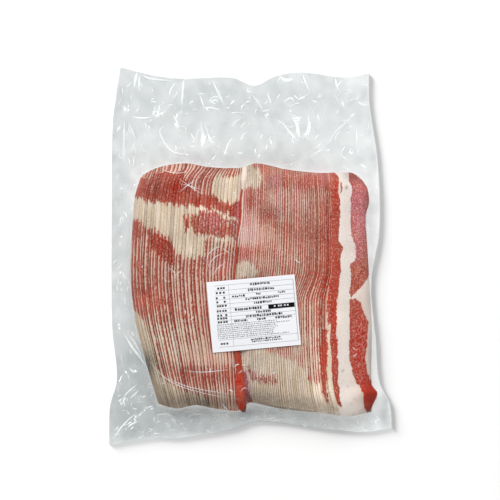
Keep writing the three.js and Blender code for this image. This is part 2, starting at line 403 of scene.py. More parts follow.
def linear(colour):
    """An sRGB hex colour as linear red, green, blue and alpha."""
    values = [int(colour[i : i + 2], 16) / 255 for i in (1, 3, 5)]
    return [v / 12.92 if v <= 0.04045 else ((v + 0.055) / 1.055) ** 2.4 for v in values] + [1]


def new_material(name):
    made = bpy.data.materials.new(name)
    made.use_nodes = True
    made.node_tree.nodes.clear()
    return made, made.node_tree


def node(tree, kind, *inputs, named=None, **settings):
    """Adds a node with its settings, then fills the inputs that are in use, in order or by name.

    A socket is linked, and so is a node, by its first output in use. Anything else is a value.
    """
    made = tree.nodes.new("ShaderNode" + kind)
    for name, value in settings.items():
        setattr(made, name, value)
    in_use = [socket for socket in made.inputs if socket.enabled]
    wanted = list(zip(in_use, inputs))
    wanted += [(made.inputs[name], value) for name, value in (named or {}).items()]
    for socket, value in wanted:
        if isinstance(value, bpy.types.Node):
            value = next(output for output in value.outputs if output.enabled)
        if isinstance(value, bpy.types.NodeSocket):
            tree.links.new(value, socket)
        else:
            socket.default_value = value
    return made


# Settings of nodes that come often.
TIMES = {"operation": "MULTIPLY"}
EASED = {"interpolation_type": "SMOOTHSTEP"}
COLOURS = {"data_type": "RGBA"}


def wear(piece, material, replaced):
    """Gives a piece its material, its body and slot, and hides the CAD solid that it stands in for."""
    piece.data.materials.clear()
    piece.data.materials.append(material)
    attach(piece, "root")
    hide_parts(replaced)


# The film's ripples and the paper's fibres, as noise of this many features a metre.
FILM_RIPPLES = 180.0
PAPER_FIBRES = 900.0
# The size of the cells between the lean's veins, and how long and how deep the veins bend, in mm.
VEIN_CELL = 7
VEIN_BEND = 9
VEIN_DEPTH = 4


def clear_ply(name, whiteness):
    """Clear blown polyethylene film: glossy, and a little milky by this much where it hangs loose. Where the
    whiteness is high, as on the creases and dents, the white is a painted highlight.

    Where the meat's juice wets it, it is clear. Where it is crumpled small it is greyer, and it is painted
    grey as shade along the meat's foot and on the margin below its near edge.
    """
    made, tree = new_material(name)
    here = node(tree, "TexCoord").outputs["Object"]
    loose = node(tree, "Attribute", attribute_name="loose").outputs["Fac"]
    dull = node(tree, "Attribute", attribute_name="dull").outputs["Fac"]
    facing = node(tree, "LayerWeight", 0.5).outputs["Facing"]
    fourth = node(tree, "Math", facing, 4.0, operation="POWER")
    steep = node(tree, "MapRange", loose, 0.0, 1.0, 0.03, 0.6)
    base = node(tree, "MapRange", loose, 0.0, 1.0, 0.015, 0.06)
    mirror = node(tree, "Math", fourth, steep, base, operation="MULTIPLY_ADD")
    fine = node(tree, "TexNoise", here, FILM_RIPPLES, 2.0)
    bump = node(tree, "Bump", named={"Strength": 0.2, "Distance": 0.0005, "Height": fine})
    # Greyer by the dull field: crumpling, and painted shade along the meat's foot.
    greyed = node(tree, "Mix", dull, linear("#fbfcfc"), linear("#d8dbdb"), **COLOURS)
    clear = node(tree, "BsdfTransparent", greyed)
    white = node(tree, "BsdfDiffuse", linear("#f6f9fa"))
    gloss = node(tree, "BsdfGlossy", linear("#ffffff"), 0.1, named={"Normal": bump})
    # Milky where loose; on the creases and dents this white is a painted highlight.
    haze = node(tree, "MapRange", loose, 0.0, 1.0, 0.01, whiteness)
    body = node(tree, "MixShader", haze, clear, white)
    film = node(tree, "MixShader", mirror, body, gloss)
    node(tree, "OutputMaterial", film)
    return made


# What the meat's pieces wear, from vertex to vertex: how far inside lean their rim and their face are, how
# far across a slice, where across it the rim ends, how light it is (with painted shade along the meat's
# edges), how orange and speckled it is, how dark the painted shade in the gap beside it is, how far juice
# stains the rim, how bright the painted highlight on its crest is, how veined the lean is, and how plain
# and white the fat is.
BEEF_FIELDS = (
    "rim", "face", "across", "split", "tone", "warmth", "speckle", "gap", "stain", "crest", "veins",
    "plain_fat",
)
# Noise on the meat: the size of its features across a slice in mm, how many times as long they are along
# it, and its detail. Frost and grain are drawn coarser than the real ones, so that they show.
BEEF_NOISE = [
    ("ragged", 1.7, 1.8, 3), ("grain", 1.2, 1.6, 2), ("frost", 1.5, 1.3, 1), ("cloud", 14, 1.6, 3),
    ("streak", 4.5, 6, 2),
]


def raw_beef():
    """Raw beef, sliced frozen: dull red lean with fine pale marbling, beside cream fat with a ragged border.

    Where slices part, a dark line is painted as the shade in the gap. Where a lean slice lies under a fat rim
    its juice stains the rim pink, and striped rims carry a painted highlight on their crests.
    """
    made, tree = new_material("raw_sliced_beef")
    here = node(tree, "TexCoord").outputs["Object"]
    worn = {}
    for name in BEEF_FIELDS:
        worn[name] = node(tree, "Attribute", attribute_name=name).outputs["Fac"]
    noise = {}
    for name, size, stretch, detail in BEEF_NOISE:
        scale = (1000 / size, 1000 / size / stretch, 1000 / size)
        scaled = node(tree, "Mapping", here, named={"Scale": scale})
        noise[name] = node(tree, "TexNoise", scaled, 1.0, detail)
    # Where lean is, with a ragged border.
    shift = node(tree, "MapRange", noise["ragged"], 0.3, 0.7, -0.2, 0.2)
    past = node(tree, "Math", worn["across"], shift, operation="ADD")
    past = node(tree, "Math", past, worn["split"], operation="SUBTRACT")
    is_face = node(tree, "MapRange", past, -0.07, 0.07, **EASED)
    lean = node(tree, "Mix", is_face, worn["rim"], worn["face"], data_type="FLOAT")
    teeth = node(tree, "MapRange", noise["ragged"], 0.3, 0.7, -1.5, 1.5)
    shorter = node(tree, "MapRange", worn["plain_fat"], 0, 1, 1.0, 0.5)
    lean = node(tree, "Math", teeth, shorter, lean, operation="MULTIPLY_ADD")
    sharper = node(tree, "MapRange", worn["plain_fat"], 0, 1, 1.0, 2.0)
    lean = node(tree, "Math", lean, sharper, **TIMES)
    is_lean = node(tree, "MapRange", lean, -1.0, 1.0, **EASED)
    # Striped is 1 where a lean face lies beside a fat rim.
    lean_face = node(tree, "MapRange", worn["face"], 0.0, 2.0)
    fat_rim = node(tree, "MapRange", worn["rim"], 0.5, -1.5)
    striped = node(tree, "Math", lean_face, fat_rim, **TIMES)
    warm = node(tree, "MapRange", worn["warmth"], 0.0, 1.2)
    cool = node(tree, "MapRange", worn["warmth"], 0.0, -1.2)
    # The lean's colour.
    clouded = node(tree, "MapRange", noise["cloud"], 0.35, 0.65)
    meat = node(tree, "Mix", clouded, linear("#9c3c28"), linear("#b25a44"), **COLOURS)
    paler = node(tree, "Math", striped, 0.12, **TIMES)
    for share, colour in ((paler, "#b87464"), (warm, "#b32a12"), (cool, "#b85f66")):
        meat = node(tree, "Mix", share, meat, linear(colour), **COLOURS)
    # The fat's colour: white where it is plain, stained pink on the rims, and a painted highlight on their
    # crests.
    streaked = node(tree, "MapRange", noise["streak"], 0.35, 0.65)
    fat = node(tree, "Mix", streaked, linear("#e2d3c0"), linear("#d2bda3"), **COLOURS)
    plain = node(tree, "Math", worn["plain_fat"], 0.85, **TIMES)
    stained = node(tree, "Math", striped, worn["stain"], **TIMES)
    # A painted highlight along the crest of each striped rim.
    off_crest = node(tree, "Math", worn["across"], 0.28, operation="SUBTRACT")
    off_crest = node(tree, "Math", off_crest, operation="ABSOLUTE")
    crest = node(tree, "MapRange", off_crest, 0.13, 0.03)
    crest = node(tree, "Math", crest, striped, **TIMES)
    crest = node(tree, "Math", crest, worn["crest"], **TIMES)
    cooler = node(tree, "Math", cool, 0.5, **TIMES)
    warmer = node(tree, "Math", warm, 0.4, **TIMES)
    shades = [(plain, "#eadfd9"), (stained, "#c78b7b"), (crest, "#f3e3da")]
    shades += [(cooler, "#d8b8bc"), (warmer, "#d09a72")]
    for share, colour in shades:
        fat = node(tree, "Mix", share, fat, linear(colour), **COLOURS)
    both = node(tree, "Mix", is_lean, fat, meat, **COLOURS)
    # Marbling and frost on both.
    bend = node(tree, "TexNoise", here, 1000 / VEIN_BEND, 1.0).outputs["Color"]
    bend = node(tree, "VectorMath", bend, VEIN_DEPTH * MM, operation="SCALE")
    bent = node(tree, "VectorMath", here, bend, operation="ADD")
    cells = node(tree, "TexVoronoi", bent, 1000 / VEIN_CELL, feature="DISTANCE_TO_EDGE")
    vein = node(tree, "MapRange", cells, 0.07, 0.01)
    vein = node(tree, "Math", vein, worn["veins"], **TIMES)
    frosty = node(tree, "MapRange", noise["frost"], 0.54, 0.7)
    speckled = node(tree, "Math", worn["speckle"], 2.2, **TIMES)
    fleck = node(tree, "Math", frosty, speckled, **TIMES)
    for share, colour in ((vein, "#e2b8a8"), (fleck, "#e8cdbf")):
        both = node(tree, "Mix", share, both, linear(colour), **COLOURS)
    # Painted shade: the dark line where two slices part.
    right_side = node(tree, "MapRange", worn["across"], 0.78, 0.97)
    left_side = node(tree, "MapRange", worn["across"], 0.14, 0.02)
    beside = node(tree, "Math", right_side, left_side, operation="MAXIMUM")
    broken = node(tree, "MapRange", noise["ragged"], 0.35, 0.6, 1.0, 0.4)
    parted = node(tree, "Math", beside, broken, **TIMES)
    parted = node(tree, "Math", parted, worn["gap"], **TIMES)
    dark = node(tree, "Mix", is_lean, linear("#86603f"), linear("#6d1d12"), **COLOURS)
    both = node(tree, "Mix", parted, both, dark, **COLOURS)
    # Light and dark grains.
    pepper = node(tree, "MapRange", noise["grain"], 0.3, 0.7, 1.0, -1.0)
    pepper = node(tree, "Math", pepper, worn["speckle"], **TIMES)
    light = node(tree, "Math", worn["tone"], pepper, operation="SUBTRACT")
    grey = node(tree, "CombineColor", light, light, light)
    toned = node(tree, "Mix", 1.0, both, grey, blend_type="MULTIPLY", **COLOURS)
    bump = node(tree, "Bump", named={"Strength": 0.35, "Distance": 0.0004, "Height": noise["grain"]})
    surface = {"Base Color": toned, "Roughness": 0.6, "Specular IOR Level": 0.0, "Normal": bump}
    body = node(tree, "BsdfPrincipled", named=surface)
    node(tree, "OutputMaterial", body)
    return made


def coated_paper():
    """Smooth white coated label paper, printed matt."""
    made, tree = new_material("coated_label_paper")
    here = node(tree, "TexCoord").outputs["Object"]
    fibre = node(tree, "TexNoise", here, PAPER_FIBRES, 2.0)
    bump = node(tree, "Bump", named={"Strength": 0.1, "Distance": 0.0002, "Height": fibre})
    surface = {"Base Color": linear("#f3f4f8"), "Roughness": 0.5, "Normal": bump}
    body = node(tree, "BsdfPrincipled", named=surface)
    node(tree, "OutputMaterial", body)
    return made


def printing_ink():
    """Black thermal print, a little grey where it is thin."""
    made, tree = new_material("thermal_print")
    shadow = node(tree, "Attribute", attribute_name="ink").outputs["Fac"]
    ink = node(tree, "Mix", shadow, linear("#f3f4f8"), linear("#0d0d0f"), **COLOURS)
    surface = {"Base Color": ink, "Roughness": 0.6, "Specular IOR Level": 0.15}
    body = node(tree, "BsdfPrincipled", named=surface)
    node(tree, "OutputMaterial", body)
    return made


def studio_paper():
    """Matt white paper, which the key leaves a little grey."""
    made, tree = new_material("white_studio_paper")
    node(tree, "OutputMaterial", node(tree, "BsdfDiffuse", linear("#bcbcbc")))
    return made


# ---------------------------------------------------------------- where lean and fat lie

# Each outline is in the photograph's pixels, and is painted over the ones before it.
# A slice shows two strips side by side: its cut rim and its face. Where one is fat and the other lean,
# the row looks striped.


def to_px(x, y):
    return x / PIXEL + MIDDLE_PX[0], MIDDLE_PX[1] - y / PIXEL


def to_mm(px, py):
    return (px - MIDDLE_PX[0]) * PIXEL, (MIDDLE_PX[1] - py) * PIXEL


def outline_distance(x, y, outline):
    """How far inside an outline each point is, negative outside it."""
    points = np.array(outline, float)
    after = np.roll(points, -1, axis=0)
    away = np.full(x.shape, 1e9)
    crossings = np.zeros(x.shape, bool)
    for (x0, y0), (x1, y1) in zip(points, after):
        near = stroke_distance(x, y, x0, y0, x1, y1)
        away = np.minimum(away, near)
        if y0 != y1:
            level = (y0 > y) != (y1 > y)
            crossings ^= level & (x < (x1 - x0) * (y - y0) / (y1 - y0) + x0)
    return np.where(crossings, away, -away)


# How far from bare fat these coats are: near enough to 0 that the ragged noise makes mottles of both.
MIXED = {"mixed": 0.35, "mottled": 0.8}


def paint(x, y, coats):
    """Lean less fat at each point, as a signed distance in mm that is positive in lean, over bare fat."""
    px, py = to_px(x, y)
    lean = np.full(x.shape, -5.0)
    for kind, outline in coats:
        inside = outline_distance(px, py, outline) * PIXEL
        if kind == "fat":
            lean = np.minimum(lean, -inside)
        else:
            lean = np.maximum(lean, np.minimum(inside, MIXED.get(kind, 5)))
    return np.clip(lean, -5, 5)


def patches(x, y, spots):
    """Soft round patches: each is a middle, its half width and half height in pixels, and an amount."""
    px, py = to_px(x, y)
    total = np.zeros(x.shape)
    for cx, cy, wide, high, amount in spots:
        total += amount * np.exp(-(((px - cx) / wide) ** 2) - ((py - cy) / high) ** 2)
    return total


TOP_LEAN = [
    (120, 160), (150, 155), (250, 155), (250, 176), (222, 176), (213, 184), (211, 193), (214, 197),
    (222, 200), (230, 204), (237, 203), (239, 196), (250, 190), (250, 219), (238, 219), (232, 216),
    (226, 213.5), (216, 210), (206, 208), (196, 206), (181, 205.5), (172, 203.5), (160, 202), (150, 200.5),
    (142, 199), (134, 197.5), (120, 195),
]
TOP_PALE_RIMS = [
    (140, 155), (250, 155), (250, 190), (222, 190), (213, 190), (208, 196), (199, 196), (192, 188),
    (186, 180), (184, 172), (174, 171), (160, 174), (148, 178), (140, 176),
]
TOP_CREAM = [
    (220, 180), (236, 179), (250, 179), (250, 200), (238, 202), (230, 203), (222, 199.5), (214, 196.5),
    (211, 192), (213, 185),
]
ISLAND = [
    (191, 217), (193, 214), (200, 213), (210, 211), (216, 212.5), (221, 216), (228, 218.5), (236, 221),
    (250, 222), (250, 246), (236, 240), (230, 237), (222, 236), (215, 236), (207, 234), (201, 237),
    (196, 232), (192, 226),
]
TOOTH = [(184, 216), (189, 216), (189.5, 229), (186, 230), (184, 226)]
BELOW_ISLAND = [(205, 240), (212, 238), (222, 240), (250, 242), (250, 258), (205, 258)]
LOWER = [
    (110, 215), (132, 216), (140, 220), (146, 223), (152, 226), (158, 228), (163, 232), (168, 236),
    (173, 240), (175, 247), (177, 253), (181, 255), (187, 257), (197, 257), (203, 255), (206, 249),
    (210, 249), (222, 250), (250, 250), (250, 430), (200, 430), (186, 401), (176, 392), (168, 384),
    (160, 372), (156, 362), (150, 352), (110, 352),
]
LEFT_EDGE_LEAN = [(110, 218), (134, 219), (141, 224), (141, 238), (110, 238)]
LEFT_CORE = [
    (150, 231), (158, 234), (164, 237), (169, 241), (173, 244), (174.5, 250), (176, 262), (174, 268),
    (168, 262), (160, 257), (155, 252), (151, 242),
]
SIDE_CREAM = [
    (110, 312), (136, 312), (142, 317), (147, 325), (150, 334), (153, 342), (156, 352), (159, 360),
    (160, 370), (150, 366), (110, 360),
]
BOTTOM_CREAM = [
    (110, 352), (142, 350), (150, 352), (157, 362), (163, 374), (172, 383), (184, 389), (198, 394),
    (212, 402), (222, 430), (110, 430),
]

LEFT_RIM = [
    ("lean", TOP_LEAN), ("fat", TOP_PALE_RIMS), ("mottled", ISLAND), ("lean", TOOTH),
    ("mottled", LEFT_EDGE_LEAN), ("lean", LEFT_CORE),
]
LEFT_FACE = [
    ("lean", TOP_LEAN), ("fat", TOP_CREAM), ("lean", ISLAND), ("lean", TOOTH), ("lean", BELOW_ISLAND),
    ("lean", LOWER), ("fat", SIDE_CREAM), ("fat", BOTTOM_CREAM),
]

RIGHT_ALL = [(225, 150), (345, 150), (345, 430), (225, 430)]
RIGHT_TOP_CREAM = [
    (225, 150), (250, 150), (252, 167), (261, 168), (262, 175), (260, 181), (258, 186), (250, 189),
    (225, 191),
]
UPPER_PATCH = [
    (225, 192), (246, 190), (252, 186), (257, 188), (262, 196), (267, 201), (274, 206), (273, 224),
    (264, 221), (256, 214), (247, 210), (225, 206),
]
TAN_PATCH = [(225, 261), (248, 262), (258, 266), (254, 276), (225, 280)]
RIGHT_BOTTOM_CREAM = [
    (225, 340), (262, 345), (282, 356), (299, 361), (305, 370), (308, 378), (312, 381), (319, 383),
    (322, 392), (330, 398), (345, 410), (345, 430), (225, 430),
]
BLUSH = [
    (246, 364), (252, 369), (258, 374), (268, 374), (277, 376), (275, 382), (262, 381), (254, 378),
    (248, 371),
]
NEXT_STRIP = [
    (320.5, 330), (326.5, 330), (327, 345), (326.5, 370), (326, 384), (327.5, 392), (329, 398), (326, 399),
    (321.5, 390), (320.5, 378), (320.5, 350),
]
LAST_FAT = [
    (326.5, 322), (345, 322), (345, 430), (330, 430), (322, 400), (327, 396), (326.5, 380), (327, 350),
]
VIOLET_FOLD = [(242, 368), (246, 371), (249, 384), (252, 401), (248, 404), (245, 396), (243, 384)]

RIGHT_RIM = [
    ("lean", NEXT_STRIP), ("lean", VIOLET_FOLD), ("mixed", BLUSH),
]
RIGHT_FACE = [
    ("lean", RIGHT_ALL), ("fat", RIGHT_TOP_CREAM), ("lean", UPPER_PATCH), ("fat", TAN_PATCH),
    ("fat", RIGHT_BOTTOM_CREAM), ("mixed", BLUSH), ("fat", LAST_FAT), ("lean", NEXT_STRIP),
    ("lean", VIOLET_FOLD),
]

# Soft patches. How much wider than half of a slice its rim shows, how light (darker along the meat's left and
# near edges and in its near left corner as painted shade), how orange, how speckled, how dark the painted
# shade between slices, and how far the juice stains the rims.
RIM_SHARE = [
    (186, 286, 14, 9, 0.2), (224, 244, 14, 8, 0.1), (148, 330, 8, 10, 0.15), (203, 352, 8, 24, 0.3),
    (195, 354, 18, 10, 0.3), (219, 357, 18, 7, 0.4), (164, 322, 14, 6, -0.15), (138, 280, 8, 50, -0.1),
    (205, 312, 6, 16, 0.2), (192, 316, 8, 8, 0.12), (226, 265, 12, 10, 0.25), (262, 238, 14, 14, 0.12),
    (270, 186, 12, 14, 0.1), (309, 355, 9, 30, 0.2), (253, 232, 16, 20, 0.42), (250, 268, 18, 8, 0.3),
    (274, 195, 16, 12, 0.15), (296, 200, 24, 12, 0.05), (282, 250, 24, 16, 0.05), (304, 330, 8, 30, 0.1),
    (172, 335, 36, 36, 0.13), (216, 398, 28, 12, 0.25), (200, 170, 14, 14, -0.12), (272, 176, 16, 10, -0.2),
    (228, 166, 12, 8, -0.2), (150, 168, 10, 8, -0.15), (318, 310, 9, 24, -0.14), (206, 402, 40, 10, 0.14),
    (165, 164, 24, 6, 0.1), (226, 238, 10, 5, 0.1), (180, 350, 44, 36, 0.06), (312, 342, 6, 8, -0.15),
    (204, 292, 5, 20, 0.15), (222, 359, 14, 6, 0.18), (176, 168, 18, 8, 0.08), (288, 356, 22, 9, 0.3),
    (312, 302, 14, 12, 0.12),
]
# Some of these darken the meat as painted shade: along its left and near edges and in its near left corner.
TONES = [
    (144, 372, 7, 26, -0.14), (132, 300, 6, 32, -0.14), (174, 164, 12, 5, -0.14), (294, 168, 16, 6, -0.12),
    (317, 340, 11, 44, 0.1), (312, 302, 12, 10, 0.08), (156, 274, 14, 10, -0.05), (236, 200, 5, 16, 0.06),
    (160, 190, 18, 12, -0.14), (174, 190, 6, 9, 0.02), (210, 170, 16, 10, -0.14), (150, 172, 16, 8, 0.05),
    (180, 177, 6, 7, 0.1), (211, 209, 16, 9, 0.14), (240, 214, 5, 26, 0.22), (226, 270, 8, 8, 0.14),
    (146, 371, 9, 20, -0.3), (160, 380, 14, 14, -0.1), (180, 403, 40, 7, -0.2), (206, 405, 10, 6, -0.1),
    (252, 367, 8, 8, -0.2), (262, 403, 26, 6, -0.12), (296, 364, 12, 12, 0.08), (260, 247, 10, 8, 0.1),
    (272, 166, 36, 4, -0.16), (252, 172, 8, 8, -0.15), (255, 276, 14, 12, -0.14), (150, 178, 12, 10, -0.06),
    (144, 230, 14, 8, -0.05), (162, 246, 9, 10, -0.1), (225, 262, 14, 12, 0.06), (212, 224, 16, 10, 0.04),
    (150, 303, 16, 10, 0.14), (196, 314, 12, 10, 0.04), (150, 356, 10, 10, -0.12),
    (214, 378, 24, 12, -0.04), (165, 392, 20, 12, -0.1), (210, 402, 30, 8, -0.15), (270, 400, 40, 7, -0.15),
    (290, 198, 24, 14, 0.12), (254, 230, 16, 20, 0.1), (284, 250, 24, 18, 0.06), (262, 208, 12, 8, -0.02),
    (320, 232, 14, 26, -0.06), (330, 290, 6, 30, -0.06), (270, 268, 30, 6, -0.05), (270, 365, 36, 16, 0.02),
    (252, 352, 8, 5, -0.1), (262, 380, 12, 4, -0.12), (285, 358, 8, 6, -0.05), (252, 396, 16, 5, -0.15),
    (190, 250, 5, 6, 0.14), (228, 166, 18, 6, -0.12), (300, 388, 14, 8, 0.05), (247, 388, 4, 14, -0.22),
    (276, 212, 10, 8, -0.12), (216, 248, 8, 6, -0.15), (252, 278, 14, 8, -0.14), (168, 320, 8, 7, -0.12),
    (151, 360, 9, 9, -0.15), (184, 393, 8, 8, -0.12), (205, 404, 8, 6, -0.15), (216, 212, 14, 12, 0.08),
    (240, 212, 5, 10, 0.1), (210, 356, 20, 8, 0.12), (318, 372, 7, 34, 0.16), (252, 168, 7, 6, -0.12),
    (278, 205, 20, 34, -0.08), (300, 236, 6, 6, -0.1), (324, 398, 14, 12, 0.16), (323, 362, 4, 24, 0.14),
    (143, 302, 7, 9, 0.14), (204, 206, 8, 8, 0.2), (180, 182, 6, 8, 0.08), (240, 200, 5, 16, 0.08),
    (148, 368, 10, 16, -0.14), (200, 398, 40, 8, -0.08), (170, 275, 40, 16, -0.06),
    (192, 310, 10, 10, 0.06), (190, 369, 10, 6, -0.16), (148, 375, 9, 12, -0.12), (262, 358, 8, 5, -0.14),
    (286, 397, 16, 7, 0.12), (320, 388, 12, 14, 0.12), (216, 182, 8, 8, -0.12), (246, 176, 8, 7, -0.12),
    (174, 236, 12, 9, -0.1), (234, 212, 9, 6, 0.1), (323, 356, 4, 16, 0.1), (222, 260, 9, 6, -0.12),
    (264, 212, 7, 5, -0.15), (144, 302, 6, 8, 0.1), (168, 307, 6, 6, 0.1), (170, 366, 12, 5, -0.12),
    (140, 232, 10, 8, -0.1), (204, 318, 5, 6, -0.1),
]
# Where the slices' edges are pressed flush, so that the rows are smoother.
FLUSH = [(150, 207, 26, 11, 0.6), (178, 226, 24, 18, 0.6), (232, 190, 12, 10, 0.5)]
# Where the painted highlights on the rims' crests are stronger.
CRESTS = [(314, 340, 14, 44, 0.4), (180, 350, 44, 36, -0.12), (175, 270, 50, 20, -0.1)]
WARMTH = [
    (174, 190, 6, 10, 1.0), (156, 180, 20, 10, -0.25), (187, 222, 4, 8, 1.0), (160, 245, 10, 12, 0.6),
    (138, 265, 10, 45, 0.4), (222, 264, 16, 10, -0.6), (214, 222, 18, 14, -0.7), (200, 178, 16, 10, -0.4),
    (240, 214, 5, 26, -0.8), (250, 234, 16, 14, -0.4), (318, 262, 16, 44, 0.4), (148, 362, 8, 26, 0.4),
    (250, 403, 60, 6, 0.4), (247, 388, 5, 14, -1.4), (144, 306, 10, 10, -0.2), (274, 180, 8, 6, -0.9),
    (276, 228, 14, 14, 0.3), (290, 205, 22, 14, -0.5), (332, 230, 8, 50, 0.5), (330, 290, 8, 20, 0.8),
    (272, 170, 14, 4, 0.9), (258, 250, 12, 5, 0.3), (180, 395, 26, 12, 0.4), (322, 210, 4, 8, 0.6),
    (262, 374, 14, 5, -0.5), (247, 350, 6, 8, -0.7), (322, 360, 6, 30, 0.5), (318, 316, 10, 30, 0.4),
    (250, 238, 14, 14, -0.2), (326, 178, 10, 8, -0.4),
]

SPECKLES = [
    (320, 235, 16, 45, 0.06), (200, 172, 18, 14, 0.14), (155, 250, 14, 12, 0.06), (280, 175, 24, 8, 0.08),
    (170, 275, 40, 30, 0.12), (175, 340, 40, 30, 0.12), (146, 178, 14, 12, 0.12),
    (323.5, 365, 4, 30, -0.12), (285, 375, 40, 25, 0.02), (218, 220, 20, 16, 0.06),
    (276, 225, 24, 40, 0.07),
]
# How dark the painted shade between slices is, patch by patch.
GAP_SHADE = [
    (281, 384, 2.2, 22, 1.2), (252, 352, 3, 24, 0.7), (150, 207, 26, 11, -0.8), (165, 232, 22, 10, -0.7),
    (230, 190, 14, 10, -0.7), (180, 335, 40, 30, 0.6), (197, 242, 14, 12, -0.6), (323.5, 365, 3, 30, -1.5),
    (200, 390, 50, 14, 0.9), (270, 375, 40, 25, 0.9), (250, 235, 14, 18, 0.1), (281, 380, 1.5, 14, 0.8),
    (224, 168, 22, 9, 0.7), (165, 280, 36, 26, 0.6), (320, 340, 12, 40, 0.5), (184, 222, 16, 22, -0.4),
    (175, 335, 34, 30, 0.2),
]
STAINS = [
    (165, 335, 30, 26, -0.5), (150, 265, 24, 20, 0.1), (285, 225, 30, 40, 0.12), (200, 172, 16, 14, 0.3),
    (215, 398, 28, 12, -0.3), (315, 340, 16, 40, -0.3), (222, 245, 14, 6, -0.3),
]
# Where more of the lean shows, and its juice stains the rims more.
REDDER = [
    (150, 298, 24, 13, 1.0), (160, 310, 16, 10, 0.6), (228, 264, 20, 12, 1.0), (214, 376, 32, 8, 0.9),
    (190, 370, 9, 6, 0.9), (204, 316, 5, 12, 0.8), (185, 313, 5, 6, 0.8), (248, 252, 16, 5, 0.9),
    (306, 180, 26, 9, 1.0), (334, 184, 10, 12, 0.6), (244, 200, 14, 9, 1.3), (266, 213, 9, 9, 1.3),
    (328, 250, 16, 55, 0.9), (308, 236, 12, 9, 0.6), (290, 228, 16, 6, 0.5), (312, 278, 16, 14, 0.5),
    (276, 180, 8, 6, 0.6),
]

# The leaning end slice: its first strip of lean, then a band of fat, then the lean of its face.
FIRST_STRIP = [
    (322, 165), (333, 172), (337.5, 176), (338.4, 182), (338, 190), (338.6, 197), (339.3, 204),
    (339.5, 212), (338.5, 230), (338, 240), (341, 245), (343.2, 250), (340.5, 255), (339.5, 261), (340, 270),
    (339, 282), (337.5, 292), (336.3, 302), (336, 320), (335.5, 332), (336.3, 342), (337.6, 350),
    (337, 358), (337.8, 370), (337, 380), (338.4, 387), (339, 395), (340, 400), (341.5, 407.5), (338, 404),
    (334, 397), (332, 391), (331.3, 380), (331, 368), (330.6, 356), (330, 345), (322, 340),
]
SMALL_STRIP = [(340.2, 181), (341.6, 184), (341.4, 190), (340.2, 194), (339.9, 188)]
UPPER_FACE = [
    (348.5, 170), (353, 173), (359, 177), (364, 182), (368, 188), (374, 196), (374, 204), (368, 208),
    (366, 213), (365, 220), (365.5, 229), (367.5, 238), (369, 250), (369, 262), (369, 274), (366, 280),
    (361, 286), (355, 293), (350, 297), (348.8, 292), (350, 282), (350, 264), (354, 261), (356, 256),
    (355, 251), (355, 246), (353, 240), (351, 236), (350, 228), (350, 200), (351.5, 194), (351.5, 188),
    (348.5, 180),
]
LOWER_FACE = [
    (349, 299), (355, 298.5), (360, 302), (362, 309), (365, 316), (368, 322), (367.5, 332), (366.5, 340),
    (365.5, 350), (364.5, 358), (366, 366), (367, 372), (369, 378), (372, 381), (375, 385), (379, 393),
    (375, 400), (373, 406), (370, 410), (367, 413), (364.5, 408), (363, 400), (362, 392), (361, 389),
    (359.5, 386), (356, 382), (353.5, 376), (351, 368), (349.5, 360), (348.3, 352), (348.3, 345), (349, 338),
    (349, 325), (349, 310),
]
END_COATS = [("lean", FIRST_STRIP), ("lean", SMALL_STRIP), ("lean", UPPER_FACE), ("lean", LOWER_FACE)]
# Some of these darken the end slice as painted shade: along its right edge and in its far right corner.
END_TONES = [
    (371, 235, 4, 55, -0.14), (344, 178, 12, 6, -0.1), (371, 375, 4, 14, -0.08), (368, 198, 3, 10, -0.25),
    (358, 215, 8, 30, 0.1), (368, 268, 3, 12, -0.15), (360, 330, 8, 24, -0.05), (346, 260, 5, 120, -0.04),
    (347, 174, 6, 6, -0.18), (334, 314, 5, 12, 0.1), (371, 350, 4, 30, -0.1), (370, 392, 8, 12, -0.15),
    (368, 300, 3, 16, -0.2), (346, 188, 1.4, 2, -0.5), (342, 370, 1.5, 1.5, -0.4), (347, 386, 1.5, 1, -0.3),
    (354, 398, 1.5, 1.2, -0.3), (351, 403, 2, 1.2, -0.3), (372, 377, 1.5, 1.5, -0.4),
    (370, 345, 4, 20, -0.06), (357, 176, 9, 6, -0.36), (349, 406, 16, 10, 0.4), (371, 356, 3, 26, -0.26),
    (371, 215, 3, 34, -0.15), (336, 319, 4, 8, 0.15), (354, 248, 3, 6, -0.1),
]
END_SPECKLES = [
    (362, 340, 10, 45, -0.05), (371, 394, 9, 14, -0.3), (336, 280, 4, 80, -0.08), (357, 230, 12, 40, 0.06),
]
END_VEINS = [(362, 335, 10, 45, 0.38), (358, 235, 10, 45, 0.4), (371, 394, 8, 14, -0.05)]
END_WARMTH = [
    (336, 190, 4, 20, 1.0), (334, 310, 5, 80, 1.0), (358, 205, 10, 25, -1.3), (358, 245, 10, 25, -0.8),
    (358, 275, 10, 10, 0.2), (370, 392, 9, 14, 1.6), (360, 345, 9, 45, 1.5),
    (368, 350, 4, 20, -0.1), (346, 188, 2, 3, 1.0), (335, 175, 5, 6, -0.8), (362, 272, 8, 10, 0.3),
]


# ---------------------------------------------------------------- slices

# A slice is cut across twice: into this many lengths, and each of those into this many.
SLICE_CUTS = (100, 2)
# How far the slices stay under the film, above the table, and inside the meat's outline, and how uneven
# they are.
SLICE_CLEAR = 0.5
SLICE_FOOT = 1.2
SLICE_INSET = 0.6
SLICE_LIFT = 0.25
# A slice's ends are fitted to the meat's outline in this many passes, from these first guesses.
FIT_PASSES = 4
NEAR_GUESS = -170.0
FAR_GUESS = 100.0
# How much closer the cuts lie at a slice's two ends.
CROWD = 0.35
# How far lean and fat shift from slice to slice, on the rims and on the faces, and how far they wander
# along a slice.
RIM_COMB = 2.4
FACE_COMB = 2.6
WANDER = 1.2

